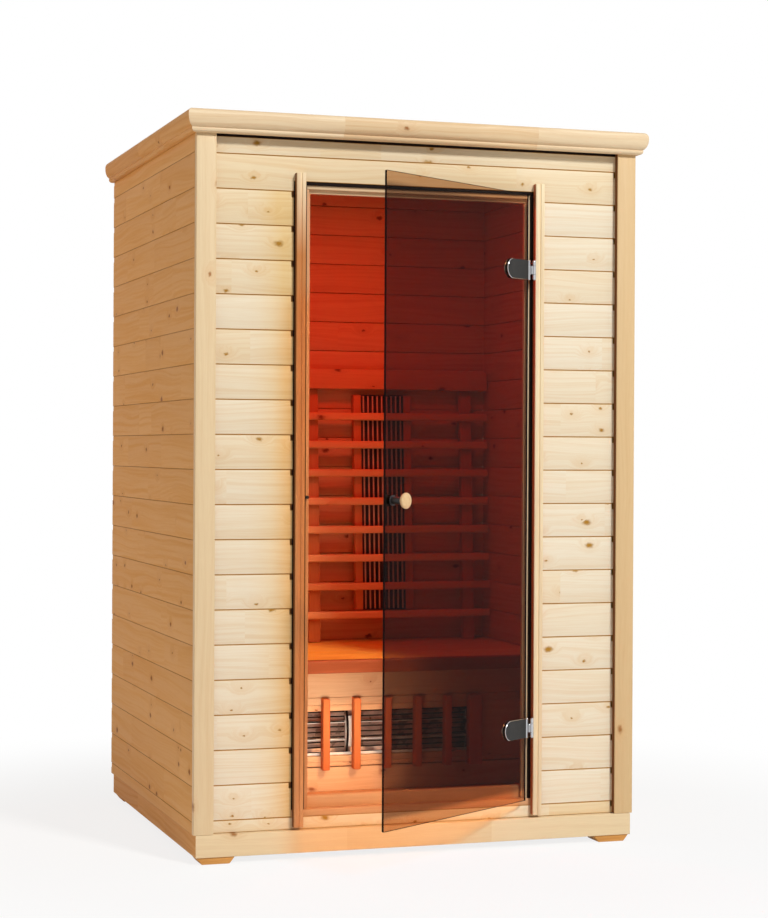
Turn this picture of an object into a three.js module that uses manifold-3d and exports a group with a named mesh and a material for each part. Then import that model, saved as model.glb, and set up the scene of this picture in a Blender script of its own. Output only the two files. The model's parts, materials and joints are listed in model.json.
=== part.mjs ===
// A two-person infrared cabin: board walls on a plinth, a moulded cornice, a tinted glass door that
// stands ajar, and inside it a bench, a slatted backrest and infrared heaters.
// Millimetres, +Z up, +X to the right of someone who faces the door, +Y towards the back wall.

import * as THREE from 'three';
import { mergeVertices } from 'three/addons/utils/BufferGeometryUtils.js';
import Module from 'manifold-3d';

// Clearance left between neighbouring pieces
const FIT = 0.3;

// Cabin body
const CABIN_WIDTH = 1188;
const CABIN_DEPTH = 1072;
const WALL_HEIGHT = 1762;
const WALL_OVERHANG = 6;
const FRONT_THICK = 28;
const SIDE_THICK = 34;

// Tongue and groove boards of the walls
const BOARD_COVER = 88.4;
const BOTTOM_BOARD = 31.8;
const GROOVE_WIDTH = 5;
const GROOVE_DEPTH = 3.5;

// Plinth, floor and feet
const BASE_HEIGHT = 57;
const BASE_BEAM = 60;
const FLOOR_THICK = 16;
const FLOOR_LEDGE = 20;
const FOOT_HEIGHT = 17;
const FOOT_TOP_WIDTH = 98;
const FOOT_TAPER = 13;
const FOOT_DEPTH = 70;
const FOOT_INSET = 4;

// Strips over the front corners
const STRIP_WIDTH = 52;
const STRIP_THICK = 19;
const STRIP_CHAMFER = 2;

// Roof panel and cornice
const ROOF_THICK = 18;
const CORNICE_HEIGHT = 58;
const CORNICE_OVERHANG = 26;
const CORNICE_DROP = 5;
const CORNICE_BEAD = 12;
const CORNICE_STEP = 16;
const CORNICE_NOSE = 43.5;

// Door opening, its rebated frame and its casings
const OPENING_WIDTH = 588;
const HEADER_HEIGHT = 113;
const REBATE_SIDE = 6;
const REBATE_TOP = 10;
const REBATE_OUTER = 6;
const REBATE_INNER = 10;
const FRAME_LIP = 8;
const CASING_WIDTH = 25;
const CASING_THICK = 19;
const CASING_ROUND = 3;
const CASING_FLUTE = 1.5;
const CASING_RISE = 20;
const CASING_FOOT_GAP = 7;
const PANEL_GAP = 3;
const THRESHOLD_HEIGHT = 17;
const BAR_THICK = 20;
const BAR_RISE = 32;

// Glass door
const DOOR_ANGLE = 33.8;
const GLASS_THICK = 6;
const GLASS_SETBACK = 6.5;
const GLASS_EDGE_GAP = 4;
const GLASS_HINGE_GAP = 12;
const GLASS_TOP_GAP = 9;
const GLASS_BOTTOM_LAP = 2;

// Hinges
const HINGE_TOP_INSET = 199;
const HINGE_BOTTOM_INSET = 191;
const HINGE_HEIGHT = 52;
const HINGE_OFFSET = 6;
const HINGE_PROUD = 4;
const KNUCKLE_HEIGHT = 22;
const KNUCKLE_RADIUS = 4.7;
const PIN_RADIUS = 2;
const PIN_CLEARANCE = 0.4;
const PLATE_THICK = 4;
const PLATE_REACH = 112;
const PLATE_START = 8;
const LEAF_THICK = 2.2;

// Knob and magnet catch
const KNOB_HEIGHT = 920;
const KNOB_INSET = 27;
const KNOB_HEAD_RADIUS = 19.5;
const KNOB_HEAD_LENGTH = 16;
const KNOB_COLLAR_RADIUS = 13.5;
const KNOB_COLLAR_LENGTH = 31;
const KNOB_BOLT_RADIUS = 4;
const KNOB_DISC_RADIUS = 15;
const KNOB_DISC_LENGTH = 9;
const CATCH_RADIUS = 4;
const CATCH_GAP = 0.7;

// Bench
const SEAT_HEIGHT = 383;
const SEAT_DEPTH = 590;
const SEAT_THICK = 22;
const FASCIA_HEIGHT = 37;
const FASCIA_THICK = 22;
const FASCIA_ROUND = 7;
const LEDGER_HEIGHT = 45;
const LEDGER_DEPTH = 40;
const BENCH_SETBACK = 115;
const BENCH_BOARD = 18;

// Window in the bench front, its grille and the heater behind it
const WINDOW_WIDTH = 690;
const WINDOW_HEIGHT = 161;
const WINDOW_RISE = 83;
const GRILLE_RAIL = 17;
const GRILLE_PITCH = 91;
const GRILLE_SLAT_WIDTH = 20;
const GRILLE_END_WIDTH = 40;
const GRILLE_LAP = 20;
const GRILLE_THICK = 28;
const LEG_HEATER_LAP = 12;
const LEG_HEATER_DEPTH = 62;
const LEG_ROD_RADIUS = 7;
const LEG_ROD_SPACING = 44;

// Backrest
const LEAN = 3.3;
const BACKREST_HEIGHT = 830;
const BACKREST_END_GAP = 6;
const RAIL_HEIGHT = 60;
const RAIL_THICK = 22;
const RAIL_CHAMFER = 10;
const SLAT_COUNT = 8;
const SLAT_FIRST = 71;
const SLAT_TOP_GAP = 72;
const SLAT_HEIGHT = 23;
const SLAT_THICK = 20;
const SLAT_ROUND = 4;
const POST_WIDTH = 36;
const POST_DEPTH = 22;
const POST_INSET = 65;

// Heaters behind the backrest
const HEATER_WIDTH = 134;
const HEATER_RISE = 97;
const HEATER_TOP_GAP = 76;
const HEATER_SPACING = 446;
const HEATER_WALL = 2.5;
const ROD_COUNT = 4;
const ROD_RADIUS = 5;
const ROD_PITCH = 27;

// Ceiling lamp, and the control box on the roof
const LAMP_RADIUS = 85;
const LAMP_DEPTH = 38;
const LAMP_FROM_FRONT = 330;
const BOX_WIDTH = 220;
const BOX_DEPTH = 140;
const BOX_HEIGHT = 34;
const BOX_FROM_BACK = 76;
const GLAND_RADIUS = 9;
const GLAND_LENGTH = 20;

// Levels, and the inner and outer planes of the body
const BASE_Z = FOOT_HEIGHT + FIT;
const BASE_TOP = BASE_Z + BASE_HEIGHT;
const WALL_Z = BASE_TOP + FIT;
const WALL_TOP = WALL_Z + WALL_HEIGHT;
const ROOF_Z = WALL_TOP + FIT;
const ROOF_TOP = ROOF_Z + ROOF_THICK;
const HALF_WIDTH = CABIN_WIDTH / 2;
const SIDE_OUT = HALF_WIDTH + WALL_OVERHANG;
const SIDE_IN = SIDE_OUT - SIDE_THICK;
const FRONT_Y = STRIP_THICK + FIT;
const FRONT_IN = FRONT_Y + FRONT_THICK;
const BACK_OUT = CABIN_DEPTH + WALL_OVERHANG;
const BACK_IN = BACK_OUT - SIDE_THICK;

// Lines of the door frame
const OPEN_HALF = OPENING_WIDTH / 2;
const STOP_X = OPEN_HALF + REBATE_SIDE;
const LIP_X = STOP_X + REBATE_SIDE;
const CASING_IN = LIP_X + FRAME_LIP;
const CASING_OUT = CASING_IN + CASING_WIDTH;
const CASING_BACK = FRONT_Y - FIT;
const CASING_FACE = CASING_BACK - CASING_THICK;
const PANEL_END = CASING_OUT + PANEL_GAP;
const FRAME_END = PANEL_END - FIT;
const STOP_Y = FRONT_Y + REBATE_OUTER;
const DEEP_STOP_Y = STOP_Y + REBATE_INNER;
const SILL_TOP = WALL_Z + BOTTOM_BOARD;
const THRESHOLD_TOP = SILL_TOP + FIT + THRESHOLD_HEIGHT;
const HEADER_Z = WALL_TOP - HEADER_HEIGHT;
const HEAD_Z = HEADER_Z - FIT - FRAME_LIP - 2 * REBATE_TOP;

// Finishes
const finish = (color, roughness, metalness = 0) =>
  new THREE.MeshStandardMaterial({ color, roughness, metalness });
const SPRUCE = finish('#e8d3a8', 0.6);
const PLANED = finish('#ddc08e', 0.6);
const WARM_WOOD = finish('#c9783f', 0.6);
const GLASS = finish('#4a2018', 0.05);
const CHROME = finish('#c8c8cc', 0.15, 1);
const BLACK = finish('#1c1a19', 0.5);
const REFLECTOR = finish('#2a2522', 0.4, 0.6);
const LAMP_RED = finish('#ff4a20', 0.4);
const GREY = finish('#3a3a3c', 0.5);

// Joining and cutting of closed shapes
const wasm = await Module();
wasm.setup();

function toSolid(geometry) {
  const bare = geometry.clone();
  bare.deleteAttribute('normal');
  bare.deleteAttribute('uv');
  const merged = mergeVertices(bare, 1e-4);
  return new wasm.Manifold(new wasm.Mesh({
    numProp: 3,
    vertProperties: new Float32Array(merged.getAttribute('position').array),
    triVerts: new Uint32Array(merged.index.array),
  }));
}

function toGeometry(solid) {
  const mesh = solid.getMesh();
  const geometry = new THREE.BufferGeometry();
  geometry.setAttribute('position', new THREE.BufferAttribute(mesh.vertProperties, 3));
  geometry.setIndex(new THREE.BufferAttribute(mesh.triVerts, 1));
  geometry.computeVertexNormals();
  return geometry;
}

const join = (...shapes) => toGeometry(shapes.map(toSolid).reduce((whole, next) => whole.add(next)));

const cut = (shape, ...tools) =>
  toGeometry(tools.map(toSolid).reduce((rest, tool) => rest.subtract(tool), toSolid(shape)));

// A box between two corners, each side given as [low, high]
function block([x0, x1], [y0, y1], [z0, z1]) {
  const geometry = new THREE.BoxGeometry(x1 - x0, y1 - y0, z1 - z0);
  return geometry.translate((x0 + x1) / 2, (y0 + y1) / 2, (z0 + z1) / 2);
}

const outline = (points) => new THREE.Shape(points.map(([u, v]) => new THREE.Vector2(u, v)));

const prism = (shape, length, curveSegments = 6) =>
  new THREE.ExtrudeGeometry(shape, { depth: length, bevelEnabled: false, curveSegments });

// A prism whose section lies on the u and v axes, and which runs from origin along u x v
function place(geometry, origin, u, v) {
  const basis = new THREE.Matrix4().makeBasis(u, v, new THREE.Vector3().crossVectors(u, v));
  return geometry.applyMatrix4(basis.setPosition(...origin));
}

const RIGHT = new THREE.Vector3(1, 0, 0);
const LEFT = new THREE.Vector3(-1, 0, 0);
const BACK = new THREE.Vector3(0, 1, 0);
const FORTH = new THREE.Vector3(0, -1, 0);
const UP = new THREE.Vector3(0, 0, 1);

// A section in (Y, Z) that runs across the cabin, and one in (X, Y) that runs upwards
const across = (shape, [x0, x1]) => place(prism(shape, x1 - x0), [x0, 0, 0], BACK, UP);
const upright = (shape, [z0, z1]) => place(prism(shape, z1 - z0), [0, 0, z0], RIGHT, BACK);

// A round bar along X, Y or Z, and a turned shape whose axis runs along Y or Z
function bar(radius, length, axis, sides = 16) {
  const geometry = new THREE.CylinderGeometry(radius, radius, length, sides);
  if (axis === 'x') geometry.rotateZ(Math.PI / 2);
  if (axis === 'z') geometry.rotateX(Math.PI / 2);
  return geometry;
}

const turned = (points, sides = 24) =>
  new THREE.LatheGeometry(points.map(([r, along]) => new THREE.Vector2(r, along)), sides);

const cabin = new THREE.Group();

function piece(name, geometry, material, parent = cabin) {
  const mesh = new THREE.Mesh(geometry, material);
  mesh.name = name;
  parent.add(mesh);
  return mesh;
}

const sides = [['left', -1], ['right', 1]];
const span = (side, near, far) => [Math.min(side * near, side * far), Math.max(side * near, side * far)];

// Plinth frame with a ledge for the floor panel, and the four tapered feet
function buildBase() {
  const inner = HALF_WIDTH - BASE_BEAM;
  const ledge = inner + FLOOR_LEDGE;
  const ledgeZ = BASE_TOP - FLOOR_THICK - FIT;
  const frame = block([-HALF_WIDTH, HALF_WIDTH], [0, CABIN_DEPTH], [BASE_Z, BASE_TOP]);
  const well = block([-inner, inner], [BASE_BEAM, CABIN_DEPTH - BASE_BEAM], [0, BASE_TOP + BASE_BEAM]);
  const seatY = [BASE_BEAM - FLOOR_LEDGE, CABIN_DEPTH - BASE_BEAM + FLOOR_LEDGE];
  const seat = block([-ledge, ledge], seatY, [ledgeZ, BASE_TOP + BASE_BEAM]);
  piece('base_frame', cut(frame, well, seat), SPRUCE);

  const floorX = ledge - FIT;
  const floorY = [seatY[0] + FIT, seatY[1] - FIT];
  piece('floor_panel', block([-floorX, floorX], floorY, [ledgeZ + FIT, BASE_TOP]), PLANED);

  for (const [sideName, side] of sides) {
    const outer = side * (HALF_WIDTH - FOOT_INSET);
    const inward = -side;
    const profile = outline([
      [outer, FOOT_HEIGHT],
      [outer + inward * FOOT_TOP_WIDTH, FOOT_HEIGHT],
      [outer + inward * (FOOT_TOP_WIDTH - FOOT_TAPER), 0],
      [outer + inward * FOOT_TAPER, 0],
    ]);
    const ends = [['front', FOOT_INSET + FOOT_DEPTH], ['back', CABIN_DEPTH - FOOT_INSET]];
    for (const [endName, far] of ends) {
      const foot = place(prism(profile, FOOT_DEPTH), [0, far, 0], RIGHT, UP);
      piece(`foot_${endName}_${sideName}`, foot, PLANED);
    }
  }
}

// Section of a board wall from z0 to z1: near and far face, with a V groove at every seam
function boardSection(near, far, z0, z1) {
  const seams = [];
  for (let z = SILL_TOP; z < z1 - GROOVE_WIDTH; z += BOARD_COVER) {
    if (z > z0 + GROOVE_WIDTH) seams.push(z);
  }
  const half = GROOVE_WIDTH / 2;
  const groove = (face, depth, z, way) => [
    [face, z - way * half],
    [face + depth, z],
    [face, z + way * half],
  ];
  return outline([
    [near, z0],
    ...seams.flatMap((z) => groove(near, GROOVE_DEPTH, z, 1)),
    [near, z1],
    [far, z1],
    ...seams.toReversed().flatMap((z) => groove(far, -GROOVE_DEPTH, z, -1)),
    [far, z0],
  ]);
}

function buildWalls() {
  const sideWall = boardSection(SIDE_IN, SIDE_OUT, WALL_Z, WALL_TOP);
  const depth = BACK_OUT - FRONT_Y;
  piece('right_wall', place(prism(sideWall, depth), [0, BACK_OUT, 0], RIGHT, UP), SPRUCE);
  piece('left_wall', place(prism(sideWall, depth), [0, FRONT_Y, 0], LEFT, UP), SPRUCE);

  const backWall = boardSection(BACK_IN, BACK_OUT, WALL_Z, WALL_TOP);
  piece('back_wall', across(backWall, [-SIDE_IN + FIT, SIDE_IN - FIT]), SPRUCE);

  const frontWall = boardSection(FRONT_Y, FRONT_IN, WALL_Z, WALL_TOP);
  for (const [name, side] of sides) {
    piece(`front_wall_${name}`, across(frontWall, span(side, PANEL_END, SIDE_IN - FIT)), SPRUCE);
  }
  const header = boardSection(FRONT_Y, FRONT_IN, HEADER_Z, WALL_TOP);
  piece('front_header', across(header, [-FRAME_END, FRAME_END]), SPRUCE);
  piece('sill_board', block([-FRAME_END, FRAME_END], [FRONT_Y, FRONT_IN], [WALL_Z, SILL_TOP]), SPRUCE);

  for (const [name, side] of sides) {
    const inner = SIDE_OUT - STRIP_WIDTH;
    const c = STRIP_CHAMFER;
    const strip = outline([
      [side * inner, STRIP_THICK],
      [side * inner, c],
      [side * (inner + c), 0],
      [side * (SIDE_OUT - c), 0],
      [side * SIDE_OUT, c],
      [side * SIDE_OUT, STRIP_THICK],
    ]);
    piece(`corner_strip_${name}`, upright(strip, [WALL_Z, WALL_TOP]), PLANED);
  }
}

// Cornice section: d runs outwards from the roof edge, z upwards from its lower edge
function corniceSection() {
  const shape = new THREE.Shape();
  const shoulder = CORNICE_BEAD + FIT;
  shape.moveTo(0, 0);
  shape.lineTo(CORNICE_STEP - CORNICE_BEAD, 0);
  shape.quadraticCurveTo(CORNICE_STEP, 0, CORNICE_STEP, CORNICE_BEAD);
  shape.lineTo(CORNICE_STEP, shoulder);
  shape.quadraticCurveTo(CORNICE_OVERHANG, CORNICE_NOSE - CORNICE_BEAD, CORNICE_OVERHANG, CORNICE_NOSE);
  shape.quadraticCurveTo(CORNICE_OVERHANG, CORNICE_HEIGHT, CORNICE_STEP, CORNICE_HEIGHT);
  shape.lineTo(0, CORNICE_HEIGHT);
  return shape;
}

// Slants the two ends of a prism along its length by a share of the distance outwards
function mitre(geometry, length, start, end) {
  const position = geometry.getAttribute('position');
  for (let i = 0; i < position.count; i += 1) {
    const outwards = position.getX(i);
    const along = position.getZ(i);
    position.setZ(i, along + outwards * (along > length / 2 ? end : -start));
  }
  return geometry;
}

function buildRoof() {
  piece('roof_panel', block([-SIDE_OUT, SIDE_OUT], [0, BACK_OUT], [ROOF_Z, ROOF_TOP]), PLANED);

  const z = ROOF_Z - CORNICE_DROP;
  const edge = SIDE_OUT + FIT;
  const mitreGap = FIT * Math.SQRT2;
  const front = mitre(prism(corniceSection(), 2 * edge), 2 * edge, 1, 1);
  piece('cornice_front', place(front, [edge, -FIT, z], FORTH, UP), PLANED);

  const run = BACK_OUT + FIT - mitreGap;
  const right = mitre(prism(corniceSection(), run), run, 0, 1);
  piece('cornice_right', place(right, [edge, BACK_OUT, z], RIGHT, UP), PLANED);
  const left = mitre(prism(corniceSection(), run), run, 1, 0);
  piece('cornice_left', place(left, [-edge, BACK_OUT - run, z], LEFT, UP), PLANED);
}

// Head section; clear enlarges it downwards and forwards to cut room for it
function headSection(clear) {
  const inner = HEAD_Z - clear;
  const middle = inner + REBATE_TOP;
  const outer = middle + REBATE_TOP;
  const top = HEADER_Z - FIT + clear;
  return outline([
    [FRONT_IN + clear, inner],
    [DEEP_STOP_Y - clear, inner],
    [DEEP_STOP_Y - clear, middle],
    [STOP_Y - clear, middle],
    [STOP_Y - clear, outer],
    [FRONT_Y - clear, outer],
    [FRONT_Y - clear, top],
    [FRONT_IN + clear, top],
  ]);
}

// Rebated jambs and head, threshold with its rounded inner bar, and the two casings
function buildDoorFrame() {
  piece('door_head', across(headSection(0), [-FRAME_END, FRAME_END]), WARM_WOOD);
  const headRoom = across(headSection(FIT), [-PANEL_END, PANEL_END]);

  for (const [name, side] of sides) {
    const section = outline([
      [side * OPEN_HALF, FRONT_IN],
      [side * OPEN_HALF, DEEP_STOP_Y],
      [side * STOP_X, DEEP_STOP_Y],
      [side * STOP_X, STOP_Y],
      [side * LIP_X, STOP_Y],
      [side * LIP_X, FRONT_Y],
      [side * FRAME_END, FRONT_Y],
      [side * FRAME_END, FRONT_IN],
    ]);
    const jamb = upright(section, [THRESHOLD_TOP + FIT, HEADER_Z - FIT]);
    piece(`jamb_${name}`, cut(jamb, headRoom), WARM_WOOD);
  }

  const barY = FRONT_IN + FIT;
  const round = BAR_THICK / 2;
  const crown = THRESHOLD_TOP + BAR_RISE - round;
  const sill = new THREE.Shape();
  sill.moveTo(FRONT_Y, SILL_TOP + FIT);
  sill.lineTo(barY, SILL_TOP + FIT);
  sill.lineTo(barY, WALL_Z);
  sill.lineTo(barY + BAR_THICK, WALL_Z);
  sill.absarc(barY + round, crown, round, 0, Math.PI, false);
  sill.lineTo(barY, THRESHOLD_TOP);
  sill.lineTo(FRONT_Y, THRESHOLD_TOP);
  piece('threshold', across(sill, [-FRAME_END, FRAME_END]), WARM_WOOD);

  for (const [name, side] of sides) {
    const x = (along) => side * (CASING_IN + along);
    const face = CASING_FACE;
    const middle = CASING_WIDTH / 2;
    const section = new THREE.Shape();
    section.moveTo(x(0), CASING_BACK);
    section.lineTo(x(0), face + CASING_ROUND);
    section.quadraticCurveTo(x(0), face, x(CASING_ROUND), face);
    section.lineTo(x(middle - 2 * CASING_FLUTE), face);
    section.lineTo(x(middle - CASING_FLUTE), face + CASING_FLUTE);
    section.lineTo(x(middle), face);
    section.lineTo(x(CASING_WIDTH - CASING_ROUND), face);
    section.quadraticCurveTo(x(CASING_WIDTH), face, x(CASING_WIDTH), face + CASING_ROUND);
    section.lineTo(x(CASING_WIDTH), CASING_BACK);
    const casingZ = [WALL_Z + CASING_FOOT_GAP, HEADER_Z + CASING_RISE];
    piece(`casing_${name}`, upright(section, casingZ), WARM_WOOD);
  }
}

// The door turns about its hinge pins. Its group has the hinge axis as Z, and the glass runs along -X
const AXIS_X = CASING_IN - HINGE_OFFSET;
const AXIS_Y = CASING_FACE - HINGE_PROUD;
const GLASS_Y = HINGE_PROUD + GLASS_SETBACK;
const GLASS_BACK = GLASS_Y + GLASS_THICK;
const GLASS_REACH = AXIS_X + CASING_IN - GLASS_EDGE_GAP;
const GLASS_Z = THRESHOLD_TOP - GLASS_BOTTOM_LAP;
const GLASS_TOP = HEADER_Z - GLASS_TOP_GAP;
const KNOB_X = KNOB_INSET - GLASS_REACH;

// A plate in the XZ plane, square at start and rounded at reach, between two Y planes
function roundedPlate(start, reach, [y0, y1], z) {
  const radius = HINGE_HEIGHT / 2;
  const shape = new THREE.Shape();
  shape.moveTo(-start, z - radius);
  shape.lineTo(-start, z + radius);
  shape.lineTo(-(reach - radius), z + radius);
  shape.absarc(-(reach - radius), z, radius, Math.PI / 2, 1.5 * Math.PI, false);
  return place(prism(shape, y1 - y0), [0, y1, 0], RIGHT, UP);
}

function buildHinge(name, z, door) {
  const half = HINGE_HEIGHT / 2;
  const inner = KNUCKLE_HEIGHT / 2;
  const plateY = GLASS_Y - FIT;
  const plate = roundedPlate(PLATE_START, PLATE_REACH, [plateY - PLATE_THICK, plateY], z);
  const neckY = [0, plateY];
  const neck = block([-PLATE_START - PLATE_THICK, 0], neckY, [z - inner, z + inner]);
  const knuckle = bar(KNUCKLE_RADIUS, KNUCKLE_HEIGHT, 'z').translate(0, 0, z);
  const bore = bar(PIN_RADIUS + PIN_CLEARANCE, HINGE_HEIGHT, 'z').translate(0, 0, z);
  piece(`hinge_clamp_${name}`, cut(join(plate, neck, knuckle), bore), CHROME, door);

  const rear = [GLASS_BACK + FIT, GLASS_BACK + FIT + PLATE_THICK];
  const rearStart = GLASS_HINGE_GAP + PLATE_THICK;
  piece(`hinge_back_plate_${name}`, roundedPlate(rearStart, PLATE_REACH, rear, z), CHROME, door);

  const leafX = [CASING_IN - FIT - LEAF_THICK, CASING_IN - FIT];
  const leaf = block(leafX, [AXIS_Y, FRONT_Y - FIT], [z - half, z + half]);
  const clear = inner + FIT;
  const notch = bar(KNUCKLE_RADIUS + 2 * PIN_CLEARANCE, 2 * clear, 'z').translate(AXIS_X, AXIS_Y, z);
  const end = half - clear;
  const ends = [z + clear, z - half].flatMap((low) => [
    bar(KNUCKLE_RADIUS, end, 'z').translate(AXIS_X, AXIS_Y, low + end / 2),
    block([AXIS_X, leafX[1]], [AXIS_Y, AXIS_Y + LEAF_THICK], [low, low + end]),
  ]);
  const pin = bar(PIN_RADIUS, HINGE_HEIGHT, 'z').translate(AXIS_X, AXIS_Y, z);
  piece(`hinge_leaf_${name}`, join(cut(leaf, notch), ...ends, pin), CHROME);
}

function buildDoor() {
  const door = new THREE.Group();
  door.position.set(AXIS_X, AXIS_Y, 0);
  door.rotation.z = THREE.MathUtils.degToRad(DOOR_ANGLE);
  cabin.add(door);

  const pane = block([-GLASS_REACH, -GLASS_HINGE_GAP], [GLASS_Y, GLASS_BACK], [GLASS_Z, GLASS_TOP]);
  const hole = bar(KNOB_BOLT_RADIUS + 2 * FIT, 4 * GLASS_THICK, 'y');
  hole.translate(KNOB_X, GLASS_Y, KNOB_HEIGHT);
  piece('door_glass', cut(pane, hole), GLASS, door);

  buildHinge('bottom', GLASS_Z + HINGE_BOTTOM_INSET, door);
  buildHinge('top', GLASS_TOP - HINGE_TOP_INSET, door);

  const collarEnd = GLASS_Y - FIT;
  const collarStart = collarEnd - KNOB_COLLAR_LENGTH;
  const discStart = GLASS_BACK + FIT;
  const discEnd = discStart + KNOB_DISC_LENGTH;
  const fitting = turned([
    [0, collarStart],
    [KNOB_COLLAR_RADIUS, collarStart],
    [KNOB_COLLAR_RADIUS, collarEnd],
    [KNOB_BOLT_RADIUS, collarEnd],
    [KNOB_BOLT_RADIUS, discStart],
    [KNOB_DISC_RADIUS, discStart],
    [KNOB_DISC_RADIUS, discEnd],
    [0, discEnd],
  ]);
  piece('knob_fitting', fitting.translate(KNOB_X, 0, KNOB_HEIGHT), BLACK, door);

  const headEnd = collarStart - FIT;
  const headStart = headEnd - KNOB_HEAD_LENGTH;
  const shoulder = KNOB_HEAD_LENGTH / 3;
  const head = turned([
    [0, headStart],
    [KNOB_HEAD_RADIUS - shoulder, headStart],
    [KNOB_HEAD_RADIUS, headStart + shoulder],
    [KNOB_HEAD_RADIUS, headEnd - shoulder],
    [KNOB_COLLAR_RADIUS, headEnd],
    [0, headEnd],
  ]);
  piece('knob_head', head.translate(KNOB_X, 0, KNOB_HEIGHT), PLANED, door);

  const catchX = (STOP_X + LIP_X) / 2;
  const catchStart = AXIS_Y + GLASS_BACK + CATCH_GAP;
  const stem = REBATE_SIDE / 2 - 2 * FIT;
  const magnet = turned([
    [0, catchStart],
    [CATCH_RADIUS, catchStart],
    [CATCH_RADIUS, FRONT_Y - FIT],
    [stem, FRONT_Y - FIT],
    [stem, STOP_Y - FIT],
    [0, STOP_Y - FIT],
  ], 16);
  piece('magnet_catch', magnet.translate(-catchX, 0, KNOB_HEIGHT), CHROME);
}

// Bench: seat, rounded fascia, ledger on the back wall, and the boards around the heater window
const SEAT_Z = BASE_TOP + SEAT_HEIGHT;
const SEAT_UNDER = SEAT_Z - SEAT_THICK;
const SEAT_FRONT = BACK_IN - SEAT_DEPTH;
const BENCH_X = SIDE_IN - FIT;
const BENCH_Y = SEAT_FRONT + BENCH_SETBACK;
const BENCH_BACK = BENCH_Y + BENCH_BOARD;
const WINDOW_HALF = WINDOW_WIDTH / 2;
const WINDOW_Z = WALL_Z + WINDOW_RISE;
const WINDOW_TOP = WINDOW_Z + WINDOW_HEIGHT;

function buildBench() {
  const fasciaBack = SEAT_FRONT + FASCIA_THICK;
  const fascia = new THREE.Shape();
  fascia.moveTo(SEAT_FRONT, SEAT_Z - FASCIA_HEIGHT);
  fascia.lineTo(fasciaBack, SEAT_Z - FASCIA_HEIGHT);
  fascia.lineTo(fasciaBack, SEAT_Z);
  fascia.lineTo(SEAT_FRONT + FASCIA_ROUND, SEAT_Z);
  fascia.quadraticCurveTo(SEAT_FRONT, SEAT_Z, SEAT_FRONT, SEAT_Z - FASCIA_ROUND);
  piece('bench_fascia', across(fascia, [-BENCH_X, BENCH_X]), WARM_WOOD);

  const seatY = [fasciaBack + FIT, BACK_IN - FIT];
  piece('bench_seat', block([-BENCH_X, BENCH_X], seatY, [SEAT_UNDER, SEAT_Z]), WARM_WOOD);

  const under = SEAT_UNDER - FIT;
  const ledgerY = [BACK_IN - FIT - LEDGER_DEPTH, BACK_IN - FIT];
  piece('bench_ledger', block([-BENCH_X, BENCH_X], ledgerY, [under - LEDGER_HEIGHT, under]), PLANED);

  const frontY = [BENCH_Y, BENCH_BACK];
  piece('bench_front_upper', block([-BENCH_X, BENCH_X], frontY, [WINDOW_TOP, under]), SPRUCE);
  piece('bench_front_lower', block([-BENCH_X, BENCH_X], frontY, [WALL_Z, WINDOW_Z]), SPRUCE);
  for (const [name, side] of sides) {
    const end = block(span(side, WINDOW_HALF, BENCH_X), frontY, [WINDOW_Z + FIT, WINDOW_TOP - FIT]);
    piece(`bench_front_${name}`, end, SPRUCE);
  }
}

function buildLegHeater() {
  const slatY = [BENCH_Y - FIT - GRILLE_THICK, BENCH_Y - FIT];
  const slatZ = [WINDOW_Z - GRILLE_LAP, WINDOW_TOP + GRILLE_LAP];
  const railX = WINDOW_HALF - FIT;
  const railY = [slatY[1] - GRILLE_RAIL / 2, BENCH_BACK];
  const rails = [
    block([-railX, railX], railY, [WINDOW_Z + FIT, WINDOW_Z + GRILLE_RAIL]),
    block([-railX, railX], railY, [WINDOW_TOP - GRILLE_RAIL, WINDOW_TOP - FIT]),
  ];
  const slats = [];
  const count = Math.floor(WINDOW_WIDTH / GRILLE_PITCH);
  for (let i = 0; i < count; i += 1) {
    const x = (i - (count - 1) / 2) * GRILLE_PITCH;
    slats.push(block([x - GRILLE_SLAT_WIDTH / 2, x + GRILLE_SLAT_WIDTH / 2], slatY, slatZ));
  }
  for (const [, side] of sides) {
    const near = WINDOW_HALF - GRILLE_RAIL / 2;
    slats.push(block(span(side, near, near + GRILLE_END_WIDTH), slatY, slatZ));
  }
  piece('leg_grille', join(...rails, ...slats), WARM_WOOD);

  const trayX = WINDOW_HALF + LEG_HEATER_LAP;
  const trayZ = [WINDOW_Z - LEG_HEATER_LAP, WINDOW_TOP + LEG_HEATER_LAP];
  const trayY = [BENCH_BACK + FIT, BENCH_BACK + FIT + LEG_HEATER_DEPTH];
  const tray = block([-trayX, trayX], trayY, trayZ);
  const hollow = block(
    [-trayX + HEATER_WALL, trayX - HEATER_WALL],
    [trayY[0] - LEG_HEATER_DEPTH, trayY[1] - HEATER_WALL],
    [trayZ[0] + HEATER_WALL, trayZ[1] - HEATER_WALL],
  );
  const level = (WINDOW_Z + WINDOW_TOP) / 2;
  const depth = (trayY[0] + trayY[1]) / 2;
  const rods = [-1, 1].map((way) =>
    bar(LEG_ROD_RADIUS, 2 * trayX - HEATER_WALL, 'x', 10)
      .translate(0, depth, level + way * LEG_ROD_SPACING / 2));
  piece('leg_heater', join(cut(tray, hollow), ...rods), REFLECTOR);
}

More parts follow.
